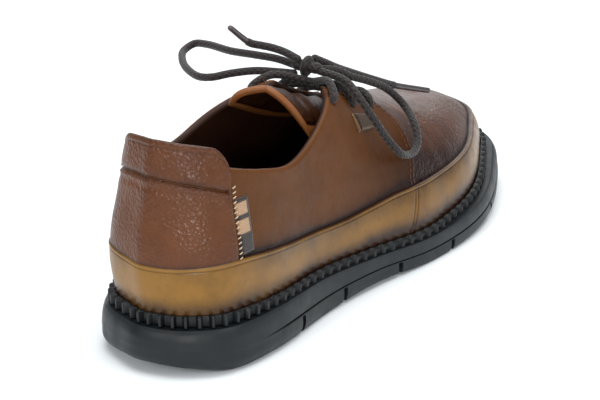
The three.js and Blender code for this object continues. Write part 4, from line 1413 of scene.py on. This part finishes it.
class SHOE_OT_sole(bpy.types.Operator):
    """Rubber sole: slit tread, smooth upper tier, the ribbed welt round the band's foot"""

    bl_idname = "shoe.sole"
    bl_label = "Sole"

    def execute(self, context):
        sizes = context.scene.shoe_sizes
        moulded = rubber("moulded_rubber", tuple(context.scene.shoe_colours.rubber))
        half = np.linspace(0, 1, 600)
        wide = sizes.slit / 2
        near = np.array([-wide - 0.0002, -wide, 0, wide, wide + 0.0002])
        for points, along in SIDES:
            y = (np.array(SLIT_STATIONS)[:, None] * SOLE_LENGTH - HEEL_SEAT + near).ravel()
            half = np.append(half, np.interp(y, points[:, 1], along) / along[-1])
        u = all_round(np.unique(np.round(half, 6)))
        tread = self.tier("tread_tier", TREAD_PROFILE, u, wide, moulded)
        upper = self.tier("upper_tier", MIDSOLE_PROFILE, u, 0, moulded)
        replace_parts(tread, "outsole")
        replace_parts(upper, "midsole")
        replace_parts(self.welt(sizes.tooth, moulded), "welt")
        return {"FINISHED"}

    def tier(self, name, profile, u, wide, material):
        """A side profile swept round the outline, closed below and above to the middle line.

        Slits are where the distance along the shoe from a slit's station is under half a slit:
        there the side goes in level, and the tread goes up by the cross groove's depth. A tier
        without slits is the upper one, which has a thin groove at its foot away from the heel.
        """
        curve = spline(np.pad(profile, ((0, 0), (0, 1))), 7)[:, :2]
        rise, inset = curve[:, :1], curve[:, 1:]
        if wide == 0:
            inset = inset + 0.2 * bell(rise - 0.5, 0.018)
        at = station(u)
        low, high = lift(at), bed(at)
        place, out, room = outline(u), outward(u), flare(at) - WELT_REACH
        heel = 1 - smooth((at - 0.1) / 0.1)
        inset = inset * (1 - heel * bell(rise - 0.5, 0.1))
        back = place[None] - out[None] * (inset * room)[..., None]
        off = place[:, 1] + HEEL_SEAT - np.array(SLIT_STATIONS)[:, None] * SOLE_LENGTH
        cut = (np.abs(off).min(0) <= wide + 2e-5) * float(wide > 0)
        deep = np.where(rise < SLIT_TOP, 1.0, 0.0)
        back[..., 0] -= deep * np.sign(place[:, 0]) * cut * SLIT_DEPTH
        z = low + rise * (high - low) + (GAP * (1 - 1.6 * heel) if wide == 0 else 0)
        z = np.maximum(z, np.where(cut > 0, low + GROOVE_DEPTH, 0) * deep)
        sides = np.concatenate([back, z[..., None]], -1)
        share = np.array([0, 0.35, 0.65, 0.85, 0.96])[:, None, None]

        def close(ring):
            middle = (ring + other_side(ring)) / 2
            return middle + (ring - middle) * share

        points = np.concatenate([close(sides[0]), sides, close(sides[-1])[::-1]])
        # Painted shade in the slits and in the thin groove at the upper tier's foot
        pit_shade = np.maximum(cut * deep, (1 - heel) * bell(rise - 0.5, 0.025))
        values = {"pit_shade": np.pad(pit_shade, ((len(share), len(share)), (0, 0)))}
        return grid_piece(name, points, material, True, values)

    def welt(self, tooth, material):
        """A strip whose ribs stand out where a cosine is high, softened to rounded ribs.

        The ribs are taller and deeper round the heel, by a soft step of the way round; painted
        shade between the ribs and on them under the band is less there, so the ribs look paler
        round the heel.
        """
        count = round((SIDES[0][1][-1] + SIDES[1][1][-1]) / RIB_PITCH)
        u = wrap(np.arange(1500) * 2 / 1500)
        rib = 0.5 + 0.5 * np.tanh(4 * (np.cos(np.pi * count * u) - 0.45))
        heel = 1 - smooth((np.abs(u) - 0.1) / 0.16)
        tall = 0.64 + 0.16 * heel
        out = 0.84 * WELT_WIDTH - (0.6 + 0.4 * heel) * tooth * (1 - rib)
        low = bed(station(u))
        face = quarter_lift(u) + 2 * GAP + BAND_LEATHER
        n = outward(u)

        def row(height, reach):
            p = skin(u, height_v(u, low + height), face)
            plan = p[:, :2] + n * reach[:, None]
            return np.concatenate([plan, (low + GAP + height)[:, None]], 1)

        zero = np.zeros_like(u)
        top = WELT_HEIGHT * (tall + 0.1 * rib)
        points = [row(zero, zero)]
        for share, height in ((0.999, 0), (1, 0.0006), (1, 0.0014), (1, 0.0025)):
            points.append(row(zero + height, out * share))
        points.append(row(top - 0.0005, out - 0.0002))
        points.append(row(top, out - 0.0008))
        points.append(row(top, zero))
        points.append(points[0])
        # Painted shade between the ribs and on the ribs under the band, less round the heel
        values = {"pit_shade": 0.9 * (1 - rib) + (0.5 - 0.4 * heel) * rib}
        return grid_piece("ribbed_welt", np.stack(points), material, True, values)


class SHOE_OT_insole(bpy.types.Operator):
    """Insole: a leather-faced pad on the sole's bed, slightly cupped to its edge"""

    bl_idname = "shoe.insole"
    bl_label = "Insole"

    def execute(self, context):
        lining = tuple(context.scene.shoe_colours.lining)
        lined = plain("insole_leather", lining, 0.7, 700, 0.00008)
        u = all_round(np.linspace(0, 1, 160))
        at = station(u)
        plan = outline(u) - outward(u) * (flare(at) + WALL + 2 * GAP)[:, None]
        middle = (plan + other_side(plan)) / 2
        # Share of the way out from the middle line against height over the bed
        rows = [(0, 0), (0.6, 0), (0.97, 0), (1, 0.0008), (1, 0.0034), (0.98, 0.004)]
        rows += [(0.8, 0.0036), (0.5, 0.0031), (0, 0.0029)]
        points = []
        for share, height in rows:
            z = (bed(at) + GAP + height)[:, None]
            points.append(np.concatenate([middle + (plan - middle) * share, z], 1))
        pad = grid_piece("insole_pad", np.stack(points), lined, closed=True)
        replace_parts(pad, "insole")
        return {"FINISHED"}


def patch(corners, offsets, steps, rounding=0.2):
    """A thin plate on the quarter between four corners: level grid, face over, back under.

    Each place is the mean of the corners by its shares, and the face goes down at its edges in
    a quarter of a circle.
    """
    s, t = np.meshgrid(np.linspace(0, 1, steps[0]), np.linspace(0, 1, steps[1]))
    (u0, v0), (u1, v1), (u2, v2), (u3, v3) = corners
    u = (1 - t) * ((1 - s) * u0 + s * u1) + t * ((1 - s) * u3 + s * u2)
    v = (1 - t) * ((1 - s) * v0 + s * v1) + t * ((1 - s) * v3 + s * v2)
    low, high = offsets
    edge = np.minimum(np.minimum(s, 1 - s) * steps[0], np.minimum(t, 1 - t) * steps[1])
    soft = np.sqrt(np.maximum(0, 1 - (1 - np.clip(edge * rounding, 0, 1)) ** 2))
    face = skin(u, v, low + (high - low) * soft)
    back = skin(u, v, low)
    return np.concatenate([face, back[:, ::-1]], 1), s, t


TRIM_BASE = QUARTER_STEP + GAP
RIBBON_FROM, RIBBON_TO = 0.005, 0.03
RIBBON_FOOT, RIBBON_TOP = 0.047, 0.07
RIBBON_SIZE = (0.02, 0.026)
PLATE_STATIONS = np.array([0.437, 0.492])
PLATE_FOOT, PLATE_TOP = 0.0315, 0.0255


class SHOE_OT_trims(bpy.types.Operator):
    """Trims of the outer quarter: a ribbon tab with two pale bars, and a small metal plate"""

    bl_idname = "shoe.trims"
    bl_label = "Ribbon and plate"

    def execute(self, context):
        colours = context.scene.shoe_colours
        cloth = woven("woven_ribbon", tuple(colours.ribbon), tuple(colours.ribbon_pale))
        steel = metal("brushed_plate", tuple(colours.plate))
        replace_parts(self.ribbon(cloth), "side_tab")
        u, foot = crest_side(PLATE_STATIONS, PLATE_FOOT)
        top = crest_side(PLATE_STATIONS, PLATE_TOP)[1]
        corners = [(u[0], foot[0]), (u[1], foot[1]), (u[1], top[1]), (u[0], top[0])]
        points = patch(corners, (TRIM_BASE - 0.0002, TRIM_BASE + 0.0012), (40, 20))[0]
        plate = grid_piece("metal_plate", points, steel, closed=True)
        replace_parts(plate, "side_plate")
        return {"FINISHED"}

    def ribbon(self, material):
        """A patch at the counter's edge; its two pale bars are soft steps along and across."""
        u = HEEL_ROUND + np.array([RIBBON_FROM, RIBBON_TO])
        foot, top = height_v(u, RIBBON_FOOT), height_v(u, RIBBON_TOP)
        corners = [(u[0], foot[0]), (u[1], foot[1]), (u[1], top[1]), (u[0], top[0])]
        points, s, t = patch(corners, (TRIM_BASE - 0.0002, TRIM_BASE + 0.0008), (24, 70))
        upper_bar = smooth((0.12 - np.abs(t - 0.82)) / 0.02)
        lower_bar = smooth((0.13 - np.abs(t - 0.5)) / 0.02)
        pale = (upper_bar + lower_bar) * smooth((0.8 - s) / 0.04)
        pale = np.concatenate([pale, pale[:, ::-1]], 1)
        rows, cols = points.shape[:2]
        wide, high = RIBBON_SIZE
        j, i = np.divmod(np.arange((rows - 1) * cols), cols)
        corner = [(i, j), (i + 1, j), (i + 1, j + 1), (i, j + 1)]
        uv = np.stack([np.stack([a / cols * wide, b / rows * high], -1) for a, b in corner], 1)
        faces = ring_faces(rows, cols, True)
        return finish_piece("ribbon_tab", points, faces, material, {"pale": pale}, uv)


STITCH_RINGS = np.array([-1, -0.86, 0, 0.86, 1])
STITCH_WIDTHS = np.array([0, 0.8, 1, 0.8, 0]) / 2
STITCH_SINKS = np.array([-0.5, 0, 0.35, 0, -0.5])
STITCH_SIDES = 6


def stitched(path, normal, sizes, pitch, length):
    """Stitches along a path: one small capsule a pitch, each a profile of rings of six."""
    run = along_path(path)
    step = sizes.pitch * pitch
    at = np.arange(step / 2, run[-1], step)
    reach = sizes.stitch * length / 2

    def place(array, s):
        return np.stack([np.interp(s, run, array[:, k]) for k in range(3)], -1)

    a, b = place(path, at - reach), place(path, at + reach)
    out = unit(place(normal, at))
    along = unit(b - a)
    side = np.cross(along, out)
    width = STITCH_WIDTHS * sizes.thread
    sink = STITCH_SINKS * sizes.thread
    turn = 2 * np.pi * np.arange(STITCH_SIDES)[:, None] / STITCH_SIDES
    centre = ((a + b) / 2)[:, None] + along[:, None] * (STITCH_RINGS * reach)[:, None]
    centre = centre + out[:, None] * sink[:, None]
    ring = np.cos(turn) * side[:, None, None] + np.sin(turn) * out[:, None, None]
    points = centre[:, :, None] + ring * width[None, :, None, None]
    faces = ring_faces(len(STITCH_RINGS), STITCH_SIDES, True)[:, ::-1]
    first = len(STITCH_RINGS) * STITCH_SIDES * np.arange(len(at))
    return points.reshape(-1, 3), (faces[None] + first[:, None, None]).reshape(-1, 4)


def seam_path(u, v, offset, bow=True):
    """A seam's places on the skin and the directions out of it."""
    u, v = np.broadcast_arrays(np.asarray(u, float), np.asarray(v, float))
    around = bowed(u, v) if bow else u
    return skin(around, v, offset), last_normal(around, v)


# Distances of the seams from the edges that they follow, and how the ribbon's stitches lie
FRONT_SEAMS = (0.0022, 0.0046)
THROAT_SEAMS = (0.0024, 0.0046)
HEEL_SEAM = 0.006
RIBBON_STITCH_HEIGHTS = np.linspace(0.0465, 0.0755, 15)
RIBBON_STITCH_WIDTH = np.linspace(-0.0012, 0.0012, 5)
RIBBON_STITCH_LEAN = np.linspace(-0.0003, 0.0004, 5)


class SHOE_OT_stitches(bpy.types.Operator):
    """Stitches of the quarters, throat, counter, tab and ribbon"""

    bl_idname = "shoe.stitches"
    bl_label = "Stitches"

    def execute(self, context):
        sizes, colours = context.scene.shoe_sizes, context.scene.shoe_colours
        brown = plain("thread", tuple(colours.thread), 0.6, 3000, 0.00008)
        light = plain("pale_thread", tuple(colours.pale_thread), 0.6, 3000, 0.00008)
        on_top = QUARTER_STEP + 0.0001
        seams = []
        for side in (1, -1):
            for inset in FRONT_SEAMS:
                u = np.full(90, side * (QUARTER_ROUND - inset / SIDE_LENGTH))
                v = np.linspace(band_v(u)[0], 0.93, 90)
                seams.append(seam_path(u, v, on_top))
            at = np.linspace(THROAT_TOP + 0.012, 0.538, 80)
            for inset in THROAT_SEAMS:
                u, v = crest_side(at, side * (throat_half(at) + inset))
                seams.append(seam_path(u, v, on_top))
            u = np.full(60, side * (HEEL_ROUND - HEEL_SEAM))
            v = np.linspace(band_v(u)[0], height_v(u, collar(u))[0], 60)
            seams.append(seam_path(u, v, COUNTER_FACE, False))
        u = np.linspace(-HEEL_ROUND * 0.96, HEEL_ROUND * 0.96, 120)
        v = height_v(u, collar(u) - crease_drop(u) - 0.0022)
        seams.append(seam_path(u, v, COUNTER_FACE - 0.0002, False))
        self.make("seam_stitches", seams, sizes, brown, "brown_leather")
        across = HEEL_ROUND + 0.003 + RIBBON_STITCH_WIDTH / SIDE_LENGTH
        dashes = []
        for height in RIBBON_STITCH_HEIGHTS:
            v = height_v(across, height + RIBBON_STITCH_LEAN)
            dashes.append(seam_path(across, v, COUNTER_FACE, False))
        self.make("ribbon_stitches", dashes, sizes, light, "ribbon", 0.7, 0.95)
        return {"FINISHED"}

    def make(self, name, seams, sizes, material, slot, pitch=1.0, length=1.0):
        """One piece from the stitches of several seams."""
        points, faces, start = [], [], 0
        for path, normal in seams:
            p, f = stitched(path, normal, sizes, pitch, length)
            points.append(p)
            faces.append(f + start)
            start += len(p)
        return finish_piece(name, np.vstack(points), np.vstack(faces), material)


# Operators in the order that they run: the camera and the cords come first
STEPS = ["studio", "laces", "upper", "band", "heel", "tongue", "sole", "insole", "trims"]
STEPS += ["stitches"]


class SHOE_PT_panel(bpy.types.Panel):
    """The steps as buttons, and the sizes and colours"""

    bl_idname = "SHOE_PT_panel"
    bl_label = "Casual Shoe"
    bl_space_type = "VIEW_3D"
    bl_region_type = "UI"
    bl_category = "Shoe"

    def draw(self, context):
        rows = self.layout.column()
        for step in STEPS:
            rows.operator("shoe." + step)
        for group in (context.scene.shoe_sizes, context.scene.shoe_colours):
            for key in group.bl_rna.properties.keys()[2:]:
                rows.prop(group, key)


CLASSES = [
    ShoeSizes,
    ShoeColours,
    SHOE_OT_studio,
    SHOE_OT_laces,
    SHOE_OT_upper,
    SHOE_OT_band,
    SHOE_OT_heel,
    SHOE_OT_tongue,
    SHOE_OT_sole,
    SHOE_OT_insole,
    SHOE_OT_trims,
    SHOE_OT_stitches,
    SHOE_PT_panel,
]


def register():
    for each in CLASSES:
        bpy.utils.register_class(each)
    bpy.types.Scene.shoe_sizes = bpy.props.PointerProperty(type=ShoeSizes)
    bpy.types.Scene.shoe_colours = bpy.props.PointerProperty(type=ShoeColours)


def unregister():
    del bpy.types.Scene.shoe_colours
    del bpy.types.Scene.shoe_sizes
    for each in reversed(CLASSES):
        bpy.utils.unregister_class(each)


def main():
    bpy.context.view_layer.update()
    register()
    for step in STEPS:
        getattr(bpy.ops.shoe, step)()


if __name__ == "__main__":
    main()
